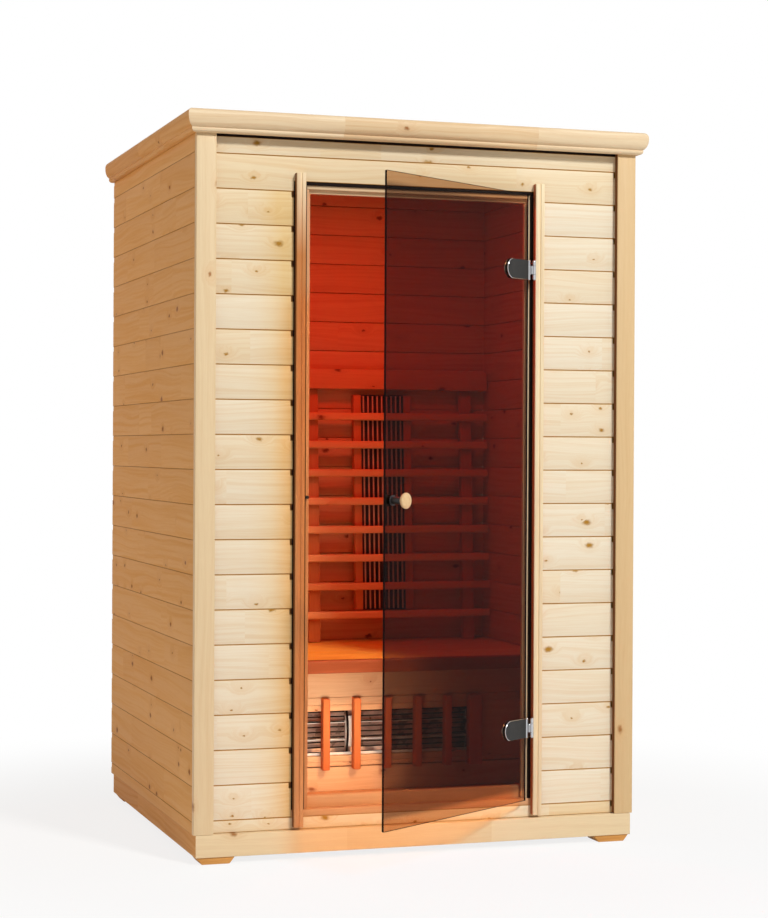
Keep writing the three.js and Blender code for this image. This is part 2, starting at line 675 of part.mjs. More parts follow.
// Backrest: a group that leans back about X. Its posts stand on the seat and reach the back wall
function buildBackrest() {
  const lean = THREE.MathUtils.degToRad(LEAN);
  const backrest = new THREE.Group();
  const topReach = POST_DEPTH * Math.cos(lean) + BACKREST_HEIGHT * Math.sin(lean);
  backrest.position.set(0, BACK_IN - FIT - topReach, SEAT_Z);
  backrest.rotation.x = -lean;
  cabin.add(backrest);

  const end = SIDE_IN - BACKREST_END_GAP;
  const postFoot = POST_DEPTH * Math.tan(lean) + 2 * FIT;
  const posts = [['left', POST_INSET - end], ['centre', 0], ['right', end - POST_INSET]];
  for (const [name, x] of posts) {
    const postX = [x - POST_WIDTH / 2, x + POST_WIDTH / 2];
    const post = block(postX, [0, POST_DEPTH], [postFoot, BACKREST_HEIGHT]);
    piece(`backrest_post_${name}`, post, WARM_WOOD, backrest);
  }

  const railZ = BACKREST_HEIGHT - RAIL_HEIGHT;
  const rail = outline([
    [-end, railZ],
    [end, railZ],
    [end, BACKREST_HEIGHT - RAIL_CHAMFER],
    [end - RAIL_CHAMFER, BACKREST_HEIGHT],
    [RAIL_CHAMFER - end, BACKREST_HEIGHT],
    [-end, BACKREST_HEIGHT - RAIL_CHAMFER],
  ]);
  const railShape = place(prism(rail, RAIL_THICK), [0, -FIT, 0], RIGHT, UP);
  piece('backrest_rail', railShape, WARM_WOOD, backrest);

  const slatPitch = (railZ - SLAT_TOP_GAP - SLAT_HEIGHT - SLAT_FIRST) / (SLAT_COUNT - 1);
  for (let i = 0; i < SLAT_COUNT; i += 1) {
    const z = SLAT_FIRST + i * slatPitch;
    const slat = outline([
      [-FIT, z],
      [-FIT, z + SLAT_HEIGHT],
      [SLAT_ROUND - SLAT_THICK, z + SLAT_HEIGHT],
      [-SLAT_THICK, z + SLAT_HEIGHT - SLAT_ROUND],
      [-SLAT_THICK, z + SLAT_ROUND],
      [SLAT_ROUND - SLAT_THICK, z],
    ]);
    piece(`backrest_slat_${i + 1}`, across(slat, [-end, end]), WARM_WOOD, backrest);
  }

  for (const [name, side] of sides) {
    const x = side * HEATER_SPACING / 2;
    const half = HEATER_WIDTH / 2;
    const z0 = HEATER_RISE;
    const z1 = BACKREST_HEIGHT - HEATER_TOP_GAP;
    const tray = block([x - half, x + half], [0, POST_DEPTH], [z0, z1]);
    const hollow = block(
      [x - half + HEATER_WALL, x + half - HEATER_WALL],
      [-POST_DEPTH, POST_DEPTH - HEATER_WALL],
      [z0 + HEATER_WALL, z1 - HEATER_WALL],
    );
    const rods = [];
    for (let i = 0; i < ROD_COUNT; i += 1) {
      const rodX = x + (i - (ROD_COUNT - 1) / 2) * ROD_PITCH;
      const rod = bar(ROD_RADIUS, z1 - z0 - HEATER_WALL, 'z', 10);
      rods.push(rod.translate(rodX, POST_DEPTH / 2, (z0 + z1) / 2));
    }
    piece(`back_heater_${name}`, join(cut(tray, hollow), ...rods), REFLECTOR, backrest);
  }
}

// Round lamp under the roof panel, and the flat control box with its cable gland on top of it
function buildFittings() {
  const top = ROOF_Z - FIT;
  const lens = LAMP_DEPTH / 3;
  const lamp = turned([
    [0, -LAMP_DEPTH],
    [LAMP_RADIUS - 2 * lens, -LAMP_DEPTH],
    [LAMP_RADIUS - lens, -2 * lens],
    [LAMP_RADIUS, -lens],
    [LAMP_RADIUS, 0],
    [0, 0],
  ], 32);
  lamp.rotateX(Math.PI / 2).translate(0, FRONT_IN + LAMP_FROM_FRONT, top);
  piece('ceiling_lamp', lamp, LAMP_RED);

  const boxBack = BACK_OUT - BOX_FROM_BACK;
  const boxZ = ROOF_TOP + FIT;
  const boxX = BOX_WIDTH / 2;
  const box = block([-boxX, boxX], [boxBack - BOX_DEPTH, boxBack], [boxZ, boxZ + BOX_HEIGHT]);
  const gland = bar(GLAND_RADIUS, 2 * GLAND_LENGTH, 'y').translate(0, boxBack, boxZ + BOX_HEIGHT / 2);
  piece('control_box', join(box, gland), GREY);
}

buildBase();
buildWalls();
buildRoof();
buildDoorFrame();
buildDoor();
buildBench();
buildLegHeater();
buildBackrest();
buildFittings();

// The origin is on the floor, below the middle of the whole object with its door ajar
const bounds = new THREE.Box3().setFromObject(cabin, true);
cabin.position.y = -(bounds.min.y + bounds.max.y) / 2;

export default cabin;
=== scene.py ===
# %% [markdown]
# # A two-person infrared cabin
# The cabin is a small wooden room: tongue and groove boards on a plinth, a moulded cornice, a tinted glass
# door that stands ajar, and inside it a bench, a slatted backrest and heaters, lit by a red lamp.
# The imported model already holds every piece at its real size. This lesson dresses it: it makes finer
# surfaces in the same places, gives each its finish, and lights it as the studio picture does.

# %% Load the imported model
import json
import math

import bpy
import numpy as np
from mathutils import Matrix, Vector


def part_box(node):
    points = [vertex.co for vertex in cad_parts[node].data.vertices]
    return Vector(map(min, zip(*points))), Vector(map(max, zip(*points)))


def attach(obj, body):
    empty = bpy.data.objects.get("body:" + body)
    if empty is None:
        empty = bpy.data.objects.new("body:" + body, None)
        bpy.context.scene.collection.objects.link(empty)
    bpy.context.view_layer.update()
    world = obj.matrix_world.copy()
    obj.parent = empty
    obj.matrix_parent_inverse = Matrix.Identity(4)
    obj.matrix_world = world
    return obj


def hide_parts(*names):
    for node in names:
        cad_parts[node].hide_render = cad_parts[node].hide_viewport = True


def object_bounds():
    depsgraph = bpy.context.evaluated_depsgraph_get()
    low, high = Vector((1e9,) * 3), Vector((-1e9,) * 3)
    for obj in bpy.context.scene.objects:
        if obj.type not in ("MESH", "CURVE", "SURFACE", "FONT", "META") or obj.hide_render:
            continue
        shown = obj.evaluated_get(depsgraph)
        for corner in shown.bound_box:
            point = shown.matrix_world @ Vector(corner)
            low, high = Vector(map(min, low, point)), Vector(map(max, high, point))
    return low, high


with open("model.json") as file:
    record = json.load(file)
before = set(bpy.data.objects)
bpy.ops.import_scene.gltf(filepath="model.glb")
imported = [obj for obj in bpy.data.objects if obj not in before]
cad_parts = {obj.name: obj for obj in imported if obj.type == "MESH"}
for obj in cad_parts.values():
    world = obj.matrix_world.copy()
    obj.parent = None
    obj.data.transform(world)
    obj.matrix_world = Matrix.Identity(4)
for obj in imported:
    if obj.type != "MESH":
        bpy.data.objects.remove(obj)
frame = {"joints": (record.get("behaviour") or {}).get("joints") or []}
cad_low, cad_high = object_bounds()
MM = 0.001
rng = np.random.default_rng(11)

# %% [markdown]
# ## Camera
# The picture was taken with a long lens from the left of the door, a little above the cabin's middle.
# Its place and turn were found from the cabin's own right angles, so they are plain numbers here. A camera
# looks along its own -Z, so its matrix has the picture's right, the picture's up and the way back as columns.
# A camera can also be aimed by a Track To constraint, but that leaves the small roll out.

# %% Camera
IMAGE_WIDTH, IMAGE_HEIGHT = 768, 918
FOCAL_PIXELS = 2118.0
SENSOR = 36.0
base_low, base_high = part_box("base_frame")
CAMERA_PLACE = Vector((-1.8030, base_low.y - 5.1693, base_low.z + 1.0252))
CAMERA_YAW, CAMERA_PITCH, CAMERA_ROLL = (math.radians(a) for a in (18.198, -0.254, 0.293))


def make_camera():
    """Camera at CAMERA_PLACE that looks along yaw (from +Y to +X) and pitch, then rolls about its view."""
    ahead = Vector((math.sin(CAMERA_YAW) * math.cos(CAMERA_PITCH),
                    math.cos(CAMERA_YAW) * math.cos(CAMERA_PITCH),
                    math.sin(CAMERA_PITCH)))
    level = Vector((math.cos(CAMERA_YAW), -math.sin(CAMERA_YAW), 0.0))
    upward = level.cross(ahead)
    right = math.cos(CAMERA_ROLL) * level + math.sin(CAMERA_ROLL) * upward
    above = math.cos(CAMERA_ROLL) * upward - math.sin(CAMERA_ROLL) * level
    turn = Matrix((right, above, -ahead)).transposed().to_4x4()
    data = bpy.data.cameras.new("camera")
    data.sensor_width = SENSOR
    data.lens = FOCAL_PIXELS * SENSOR / max(IMAGE_WIDTH, IMAGE_HEIGHT)
    camera = bpy.data.objects.new("camera", data)
    camera.matrix_world = Matrix.Translation(CAMERA_PLACE) @ turn
    bpy.context.scene.collection.objects.link(camera)
    bpy.context.scene.camera = camera
    return camera


camera = make_camera()
print("lens", round(camera.data.lens, 2), "mm")

# %% [markdown]
# ## Finishes
# A node material is a small program. The class below keeps such programs short: each call adds one node,
# sets or links its inputs and hands back an output, so a finish reads like a formula. The same nodes could be
# wired by hand in the shader editor; in code a change to twenty finishes is a change to one number.

# %% Writing node materials
class Finish:
    """A node material under construction, with one Principled surface."""

    def __init__(self, name):
        self.material = bpy.data.materials.new(name)
        self.material.use_nodes = True
        self.tree = self.material.node_tree
        self.surface = self.tree.nodes["Principled BSDF"]

    def put(self, socket, value):
        """Links an output to the socket, or sets a constant on it."""
        if isinstance(value, bpy.types.NodeSocket):
            self.tree.links.new(value, socket)
        else:
            socket.default_value = value

    def node(self, kind, out=0, inputs=(), **settings):
        """One node: settings are its properties, inputs maps socket names or numbers to values or outputs."""
        made = self.tree.nodes.new("ShaderNode" + kind)
        for key, value in settings.items():
            setattr(made, key, value)
        for key, value in dict(inputs).items():
            self.put(made.inputs[key], value)
        return made.outputs[out]

    def math(self, operation, a, b=0.0):
        return self.node("Math", inputs={0: a, 1: b}, operation=operation)

    def scaled(self, vector, by):
        """The vector times by, axis by axis."""
        return self.node("VectorMath", inputs={0: vector, 1: by}, operation="MULTIPLY")

    def blend(self, share, a, b, how="MIX"):
        """Colour a at a share of 0 and b at 1, or another way of mixing them."""
        return self.node("Mix", out=2, inputs={0: share, 6: a, 7: b}, data_type="RGBA", blend_type=how)

    def between(self, value, low, high, to_low=0.0, to_high=1.0):
        """value taken from the span low..high to the span to_low..to_high with soft ends, and clamped."""
        spans = {0: value, 1: low, 2: high, 3: to_low, 4: to_high}
        return self.node("MapRange", inputs=spans, interpolation_type="SMOOTHSTEP")

    def noise(self, vector, scale, detail=2.0, roughness=0.5):
        spec = {"Vector": vector, "Scale": scale, "Detail": detail, "Roughness": roughness}
        return self.node("TexNoise", inputs=spec)

    def set(self, **sockets):
        """Sets the surface's sockets: underscores in the names stand for spaces."""
        for key, value in sockets.items():
            self.put(self.surface.inputs[key.replace("_", " ")], value)
        return self.material

    def bump(self, height, strength, depth):
        spec = {"Strength": strength, "Distance": depth, "Height": height}
        self.set(Normal=self.node("Bump", inputs=spec))

    def mix_into_output(self, share, other):
        """Shows the share of another shader in place of the surface."""
        mixed = self.node("MixShader", inputs={0: share, 1: self.surface.outputs[0], 2: other})
        self.tree.links.new(mixed, self.tree.nodes["Material Output"].inputs[0])


def colour(red, green, blue):
    """A colour as it looks on screen, 0 to 255, as linear red, green, blue and alpha."""
    screen = np.array([red, green, blue]) / 255
    linear = np.where(screen <= 0.04045, screen / 12.92, ((screen + 0.055) / 1.055) ** 2.4)
    return (*linear.tolist(), 1.0)


print("pale spruce is", [round(c, 3) for c in colour(236, 221, 190)])

# %% [markdown]
# ### Wood
# Spruce shows three things: growth rings as long streaks, small knots that push the rings aside, and a tone
# of its own in each board. Every wooden piece carries its own coordinates, an attribute called grain whose
# first axis runs along the board, so one recipe serves boards that lie in any direction. The attribute tone
# tells one board from the next; on the front boards, the left casing and lining and the backrest posts it
# also holds painted light and shade. A picture of wood would need unwrapping and would repeat from board
# to board; noise does neither, and it stays sharp from near by.

# %% Wood recipe
RING_STRETCH = (1.6, 120.0, 120.0)
RING_SWAY, RING_PUSH = 7.0, 3.5
RING_FROM, RING_TO = 0.36, 0.72
FIBRE_STRETCH = (22.0, 900.0, 900.0)
SWAY_STRETCH = (2.2, 9.0, 9.0)
KNOT_CELLS = (9.0, 15.0, 0.0)
KNOT_WANDER, KNOT_STRAY = 90.0, (0.10, 0.14, 0.0)
KNOT_SMALL, KNOT_GROWTH = 0.032, 0.095
KNOT_OUTER, KNOT_INNER = 1.35, 0.25
HALO_OUTER, HALO_INNER = 0.40, 0.03
HALO_SHARE, HALO_GLOW = 0.36, 1.7
LATE_POWER, LATE_SHARE = 1.25, 0.72
ROUGH_EARLY, ROUGH_LATE = 0.49, 0.63


def wood(name, pale, deep, knot, knots=0.3, streaks=0.4, gloss=0.3):
    """Wood with rings, fibres and knots.

    Rings are noise that is stretched along the grain: N(1.6 x, 120 y + sway + push, 120 z), where sway is
    slow noise and push grows towards a knot. A knot lies in the share knots of the cells of a Voronoi
    pattern, where the distance from the cell's point is small, and has a golden halo. Colour runs from pale
    to deep with the tone, and streaks says how much of the darker late wood shows in the rings.
    """
    f = Finish(name)
    grain = f.node("Attribute", out=1, attribute_name="grain")
    tone = f.node("Attribute", out=2, attribute_name="tone")
    sway = f.noise(f.scaled(grain, SWAY_STRETCH), 1.0, 1.0)

    wander = f.node("TexNoise", out=1, inputs={"Vector": grain, "Scale": KNOT_WANDER, "Detail": 2.0})
    stray = f.scaled(wander, KNOT_STRAY)
    strayed = f.node("VectorMath", inputs={0: f.scaled(grain, KNOT_CELLS), 1: stray}, operation="ADD")
    cells = f.node("TexVoronoi", out=0, inputs={"Vector": strayed, "Scale": 1.0}, voronoi_dimensions="2D")
    picks = cells.node.outputs["Color"]
    pick = f.node("SeparateColor", out=0, inputs={0: picks})
    size = f.node("SeparateColor", out=1, inputs={0: picks})
    there = f.math("LESS_THAN", pick, knots)
    reach = f.math("MULTIPLY_ADD", f.math("POWER", size, 2.0), KNOT_GROWTH)
    reach.node.inputs[2].default_value = KNOT_SMALL
    core = f.math("MULTIPLY", there, f.between(f.math("DIVIDE", cells, reach), KNOT_OUTER, KNOT_INNER))
    halo = f.math("MULTIPLY", there, f.between(cells, HALO_OUTER, HALO_INNER))

    bent = f.node("CombineXYZ", inputs={1: f.math("ADD", f.math("MULTIPLY", sway, RING_SWAY),
                                                  f.math("MULTIPLY", halo, RING_PUSH))})
    ring_space = f.node("VectorMath", inputs={0: f.scaled(grain, RING_STRETCH), 1: bent}, operation="ADD")
    rings = f.between(f.noise(ring_space, 1.0, 3.0, 0.62), RING_FROM, RING_TO)
    fibres = f.noise(f.scaled(grain, FIBRE_STRETCH), 1.0, 2.0)

    body = f.blend(tone, pale, deep)
    late = f.blend(1.0, body, (*[c ** LATE_POWER for c in deep[:3]], 1.0), "MULTIPLY")
    streaked = f.blend(f.math("MULTIPLY", rings, streaks), body, f.blend(LATE_SHARE, late, body))
    flecked = f.blend(f.between(fibres, 0.35, 0.75, 0.0, 0.10), streaked, late)
    golden = (*[HALO_GLOW * c for c in knot[:3]], 1.0)
    around = f.blend(f.math("MULTIPLY", halo, HALO_SHARE), flecked, f.blend(0.5, golden, body))
    f.set(Base_Color=f.blend(core, around, knot))
    f.set(Roughness=f.between(rings, 0.0, 1.0, ROUGH_EARLY, ROUGH_LATE))
    f.surface.inputs["Specular IOR Level"].default_value = gloss
    f.bump(f.math("ADD", rings, f.math("MULTIPLY", fibres, 0.6)), 0.22, 0.3 * MM)
    return f.material


SPRUCE = wood("spruce_boards", colour(243, 232, 208), colour(236, 206, 148), colour(172, 122, 26), 0.38, 0.95)
# The side walls' spruce is warmer and deeper than the front's: partly its own warmth, partly painted warm
# shade of the sides.
SIDE_SPRUCE = wood("side_spruce_boards", colour(236, 187, 117), colour(222, 166, 93), colour(152, 94, 36),
                   0.24, gloss=0.06)
PLANED = wood("planed_spruce", colour(238, 216, 176), colour(220, 184, 130), colour(168, 112, 56), 0.06)
CROWN = wood("cornice_spruce", colour(246, 228, 194), colour(222, 178, 116), colour(160, 104, 52), 0.08, 0.95)
# A warmer copy of the planed spruce for the plinth's sides, the feet and the cornice's sides: partly painted
# shade of the sides.
SIDE_SHADE_SPRUCE = wood("amber_spruce", colour(232, 180, 108), colour(210, 150, 82), colour(140, 84, 38), 0.06, 0.7,
             gloss=0.06)
INNER = wood("inner_boards", colour(230, 170, 114), colour(210, 142, 86), colour(132, 72, 36), 0.2, 0.75)
FRAME_WOOD = wood("door_frame_wood", colour(249, 233, 192), colour(202, 126, 58), colour(140, 80, 40), 0.04,
                  0.7)
BENCH_WOOD = wood("bench_boards", colour(224, 184, 142), colour(208, 160, 116), colour(140, 78, 40), 0.3, 0.7)
# The seat's deep yellow is partly painted amber light on the seat.
SEAT = wood("seat_boards", colour(246, 206, 100), colour(232, 180, 80), colour(150, 92, 40), 0.08)
WARM = wood("warm_softwood", colour(224, 160, 100), colour(202, 124, 68), colour(126, 66, 32), 0.1)
# The backrest slats' wood is paler than the posts' wood: painted light on the slats.
REST_WOOD = wood("backrest_softwood", colour(242, 190, 126), colour(224, 154, 92), colour(140, 78, 40), 0.1)
SLAT_WOOD = wood("red_softwood", colour(214, 122, 68), colour(196, 100, 54), colour(126, 62, 30), 0.04)
# A darker brown wood for the bench fascia and the sides of the right casing: painted shade.
BROWN_SHADE_WOOD = wood("brown_softwood", colour(178, 98, 58), colour(158, 82, 48), colour(112, 60, 30), 0.04)
SEAM_WOOD = wood("golden_edge", colour(206, 156, 84), colour(190, 138, 68), colour(150, 98, 40), 0.0,
                 gloss=0.06)
# Dark brown wood for the sides of the casings and the inner face of a corner strip: painted shade.
SHADE_EDGE_WOOD = wood("stained_edge", colour(148, 94, 52), colour(122, 76, 42), colour(60, 36, 22), 0.0, gloss=0.1)
print("woods", [m.name for m in bpy.data.materials])

# %% [markdown]
# ### Glass, metal and plastic
# The door is bronze tinted glass. Its ground rim looks almost black, because light has a long way to go
# inside the pane there, so the rim has a finish of its own. The tint could be absorbed in the pane's volume,
# as in real glass; on a thin flat pane a coloured surface looks the same and gives less noise. Over the
# middle the tint is darker than bronze glass, painted shade on the interior behind it. The hinges are
# polished chrome with faint smears, and the faces of their plates are a dark copy of the chrome, painted
# shade in place of the dark surroundings that they mirror. The fittings are satin black with a fine grain.

# %% Glass and metal finishes
PANE_LOW, PANE_HIGH = (corner.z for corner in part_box("door_glass"))
TINT_FADE = 38 * MM
# PANE_TINT is darker than bronze glass, painted shade on the interior behind it; BAND_TINT lets the lit
# header and plinth show bright through the pane's top and bottom.
PANE_TINT, BAND_TINT = (0.27, 0.185, 0.14, 1.0), (0.62, 0.42, 0.28, 1.0)
SHADE_TINT = (0.90, 0.68, 0.47, 1.0)


def tinted_glass():
    """Glass whose colour is the share of light that passes: dark over the middle, painted shade on the
    interior seen through it, and paler in narrow bands at its top and bottom, where the lit header and plinth
    show.

    The band is a smooth step of the distance from the nearer edge: 0 at the edge, 1 from TINT_FADE on.
    Rays on their way to a lamp pass as through a plain amber film on each face, so the door's shade is amber.
    """
    f = Finish("tinted_glass")
    where = f.node("TexCoord", out=3)
    level = f.node("SeparateXYZ", out=2, inputs={0: where})
    edge = f.math("MINIMUM", f.math("SUBTRACT", level, PANE_LOW), f.math("SUBTRACT", PANE_HIGH, level))
    inner = f.between(edge, 0.5 * TINT_FADE, TINT_FADE)
    film = f.between(f.noise(where, 3.0, 2.0), 0.0, 1.0, 0.92, 1.0)
    f.set(Base_Color=f.blend(f.math("MULTIPLY", inner, film), BAND_TINT, PANE_TINT))
    f.surface.inputs["Roughness"].default_value = 0.0
    f.surface.inputs["IOR"].default_value = 1.1
    f.surface.inputs["Transmission Weight"].default_value = 1.0
    shade = f.node("BsdfTransparent", inputs={"Color": SHADE_TINT})
    f.mix_into_output(f.node("LightPath", out="Is Shadow Ray"), shade)
    return f.material


def satin(name, dark, light, metallic, rough, scale=140.0, spread=0.12, gloss=0.5):
    """A smooth surface with a fine mottle: noise moves its colour and its roughness a little."""
    f = Finish(name)
    mottle = f.noise(f.node("TexCoord", out=3), scale, 3.0)
    f.set(Base_Color=f.blend(mottle, dark, light))
    f.set(Roughness=f.between(mottle, 0.25, 0.75, rough - spread / 2, rough + spread / 2))
    f.surface.inputs["Metallic"].default_value = metallic
    f.surface.inputs["Specular IOR Level"].default_value = gloss
    f.bump(mottle, 0.08, 0.1 * MM)
    return f.material


def glowing(name, cool, hot, light, strength):
    """A surface that gives light: its emission follows slow noise, so that it isn't one flat colour."""
    f = Finish(name)
    patches = f.noise(f.node("TexCoord", out=3), 9.0, 2.0)
    f.set(Base_Color=f.blend(patches, cool, hot))
    f.set(Emission_Color=f.blend(patches, light, hot))
    f.surface.inputs["Emission Strength"].default_value = strength
    f.surface.inputs["Roughness"].default_value = 0.35
    return f.material


GLASS = tinted_glass()
GLASS_RIM = satin("glass_rim", colour(16, 8, 9), colour(26, 12, 12), 0.0, 0.6, gloss=0.05)
CHROME = satin("chrome", (0.50, 0.50, 0.51, 1.0), (0.62, 0.62, 0.63, 1.0), 1.0, 0.16, 60.0, 0.08)
# A dark copy of the chrome for the faces of the hinge plates: painted shade.
SHADED_CHROME = satin("dark_chrome", (0.03, 0.03, 0.03, 1.0), (0.06, 0.058, 0.055, 1.0), 1.0, 0.2, 40.0, 0.08)
DARK_TRAY = satin("dark_tray", colour(72, 58, 54), colour(92, 74, 68), 0.6, 0.45)
# Black for the door seal, partly painted shade, and for the strip under the roof, painted shade.
BLACK_SEAL_AND_SHADE = satin("rubber_seal", colour(22, 15, 13), colour(34, 24, 20), 0.0, 0.7, gloss=0.08)
BLACK = satin("black_fitting", colour(16, 15, 15), colour(30, 28, 27), 0.0, 0.42)
# The reflector's large dark and bright patches are painted reflections.
REFLECTOR = satin("heater_reflector", (0.16, 0.07, 0.045, 1.0), (0.92, 0.66, 0.54, 1.0), 0.4, 0.3, 30.0)
CERAMIC = satin("white_ceramic", colour(226, 214, 202), colour(240, 232, 224), 0.0, 0.4, 60.0)
GUARD = satin("guard_wire", colour(20, 17, 16), colour(36, 30, 28), 0.4, 0.5)
WIRES = satin("bright_wire", colour(196, 150, 116), colour(214, 172, 138), 0.0, 0.35, 60.0)
LENS = glowing("lamp_lens", colour(220, 70, 30), colour(255, 120, 60), colour(255, 70, 22), 4.0)
HOUSING = satin("control_housing", colour(52, 52, 54), colour(66, 66, 68), 0.0, 0.5)
print("other finishes", len(bpy.data.materials))

# %% [markdown]
# ## Shapes as arrays
# Nearly every piece of the cabin is a section carried along a line. A section is an outline with eased
# corners; rings of that outline are stacked along the line, and quads join each ring to the next. Scaled
# cubes with a Bevel modifier would do for plain bars, but not for grooves, notches and mitres. All of it is
# array arithmetic, so a board costs one line.

# %% Outlines and skins
def rounded(corners, radius, steps=3):
    """Closed outline whose corners are eased by curves.

    Each corner c becomes B(s) = (1-s)^2 a + 2 s (1-s) c + s^2 b for s from 0 to 1, where a and b lie on the
    edges before and after it, at the radius from c, or at 0.45 of the shorter edge where that is less.
    """
    corner = np.asarray(corners, float)
    before = np.roll(corner, 1, axis=0) - corner
    after = np.roll(corner, -1, axis=0) - corner
    near = np.linalg.norm(before, axis=1, keepdims=True)
    far = np.linalg.norm(after, axis=1, keepdims=True)
    reach = np.broadcast_to(np.asarray(radius, float), len(corner))[:, None]
    reach = np.clip(reach, 0.05 * MM, 0.45 * np.minimum(near, far))
    a = (corner + reach * before / near)[:, None]
    b = (corner + reach * after / far)[:, None]
    s = np.linspace(0, 1, steps + 1)[None, :, None]
    curve = (1 - s) ** 2 * a + 2 * s * (1 - s) * corner[:, None] + s ** 2 * b
    return curve.reshape(-1, 2)


class Solid:
    """One closed skin over rings, with what the wood recipe needs to know about it.

    rings[i, j] is point j of ring i. Quads join ring i to ring i + 1, and a flat polygon closes each end.
    grain names the axis that the wood follows. tones is one tone, one per ring, one per stretch between
    rings, or two per stretch, for its start and end. joints numbers the lengths of wood, one per stretch.
    picks are the materials of sides and ends.
    """

    AXES = {"x": (0, 2, 1), "y": (1, 2, 0), "z": (2, 0, 1)}

    def __init__(self, rings, grain="x", tones=None, joints=None, loop=False, picks=(0, 0)):
        count, size, _ = rings.shape
        index = np.arange(count * size).reshape(count, size)
        if loop:
            index = np.vstack([index, index[:1]])
        stretches = len(index) - 1
        ahead = np.roll(index, -1, axis=1)
        quads = np.stack([index[:-1], ahead[:-1], ahead[1:], index[1:]], axis=-1)
        ends = np.zeros((0, size), int) if loop else np.stack([index[0, ::-1], index[-1]])
        self.points = rings.reshape(-1, 3).astype(float)
        self.upright = self.points.copy()
        a, b, c, d = (self.points[quads[..., k]] for k in range(4))
        inside = self.points.mean(axis=0)
        volume = np.sum(np.cross(c - a, d - b) * (a - inside))
        tone = self.spread_tones(tones, count, stretches)
        corner_tone = np.repeat(tone[:, None, [0, 0, 1, 1]], size, axis=1)
        if volume < 0:
            quads, ends, corner_tone = quads[..., ::-1], ends[:, ::-1], corner_tone[..., ::-1]
        joint = np.zeros(stretches, int) if joints is None else np.asarray(joints)
        shift = rng.uniform(-9, 9, (joint.max() + 1, 3))[joint]
        closing = [0, -1][:len(ends)]
        self.loops = np.concatenate([quads.ravel(), ends.ravel()])
        self.counts = np.r_[np.full(stretches * size, 4), np.full(len(ends), size)]
        self.tone = np.r_[corner_tone.ravel(), np.repeat(tone[closing, 0], size)]
        along = np.arange(stretches)
        self.shift = shift[np.r_[np.repeat(along, size * 4), np.repeat(along[closing], size)]]
        self.order = list(self.AXES[grain])
        self.pick = np.r_[np.full(stretches * size, picks[0]), np.full(len(ends), picks[1])]

    @staticmethod
    def spread_tones(tones, count, stretches):
        """Tones as (start, end) of each stretch."""
        tone = rng.uniform(0.1, 0.75) if tones is None else np.asarray(tones, float)
        if np.ndim(tone) == 2:
            return tone
        if np.ndim(tone) == 0:
            return np.full((stretches, 2), tone)
        if len(tone) == count and count != stretches:
            return np.stack([tone[:-1], tone[1:]], axis=-1)
        return np.repeat(tone[:, None], 2, axis=1)

    def moved(self, by):
        """Carried by a vector."""
        self.points = self.points + np.asarray(by)
        return self

    def leaned(self, angle):
        """Turned about X, so that the upper end goes back: y' = y cos + z sin, z' = z cos - y sin."""
        x, y, z = self.points.T
        c, s = math.cos(angle), math.sin(angle)
        self.points = np.stack([x, y * c + z * s, z * c - y * s], axis=-1)
        return self


def ease(start, end, radius, steps=3):
    """Places along a bar and how far the section shrinks there, so that both ends are rounded over.

    With t from 0 to 90 degrees: place = start + r (1 - cos t), shrink = r (1 - sin t), and mirrored at end.
    """
    t = np.linspace(0, np.pi / 2, steps)
    near = radius * (1 - np.cos(t))
    shrink = radius * (1 - np.sin(t))
    return np.r_[start + near, end - near[::-1]], np.r_[shrink, shrink[::-1]]


def moulding(section, run, start, end, radius=1.0 * MM, tones=None, grain=None, parts=1):
    """A section in the two axes across the run, carried from start to end along it, with eased ends.

    Near an end the section shrinks about its middle: p = m + (q - m) (h - shrink) / h, h its half size.
    Several tones are stops at even spaces from start to end; parts more rings between carry the change.
    """
    place, shrink = ease(start, end, radius)
    between = np.linspace(place[2], place[3], parts + 1)[1:-1]
    place = np.r_[place[:3], between, place[3:]]
    shrink = np.r_[shrink[:3], 0 * between, shrink[3:]]
    if np.size(tones) > 1:
        tones = np.interp(place, np.linspace(start, end, len(tones)), tones)
    low, high = section.min(axis=0), section.max(axis=0)
    middle, half = (low + high) / 2, (high - low) / 2
    share = (half - shrink[:, None]) / half
    flat = middle + (section - middle) * share[:, None, :]
    k = "xyz".index(run)
    rings = np.insert(flat, k, 0, axis=2)
    rings[..., k] = place[:, None]
    return Solid(rings, grain or run, tones)


def bar(low, high, run, radius=2.0 * MM, tones=None):
    """A planed bar that fills the box from low to high: a rectangle with eased edges, carried along run."""
    k = "xyz".index(run)
    low, high = np.array(low, float), np.array(high, float)
    u, v = (i for i in range(3) if i != k)
    corners = [(low[u], low[v]), (high[u], low[v]), (high[u], high[v]), (low[u], high[v])]
    return moulding(rounded(corners, radius), run, low[k], high[k], 0.8 * radius, tones)


def node_bar(node, run, radius=2.0 * MM, tones=None):
    """A planed bar in the box of a CAD node."""
    return bar(*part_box(node), run, radius, tones)


def spun(radius, place, axis, at, sides=48):
    """A turned piece: ring k has radius_k and lies at place_k along an axis through the point at."""
    a = np.linspace(0, 2 * np.pi, sides, endpoint=False)
    k = "xyz".index(axis)
    ring = np.insert(np.stack([np.cos(a), np.sin(a)], axis=-1), k, 0, axis=1)
    rings = np.asarray(radius)[:, None, None] * ring + np.asarray(at, float) * (np.arange(3) != k)
    rings[..., k] = np.asarray(place)[:, None]
    return Solid(rings, axis)


print("a bar has", len(bar((0, 0, 0), (0.1, 0.02, 0.02), "x").counts), "faces")

# %% [markdown]
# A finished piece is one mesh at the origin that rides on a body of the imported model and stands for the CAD
# nodes that it replaces. Each board could be an object of its own, but a wall is handled as one thing, so it
# is one mesh. The grain is kept for each face corner, so two boards that meet keep their own.

# %% Putting a piece into the scene
SMOOTH_ANGLE = math.radians(32)


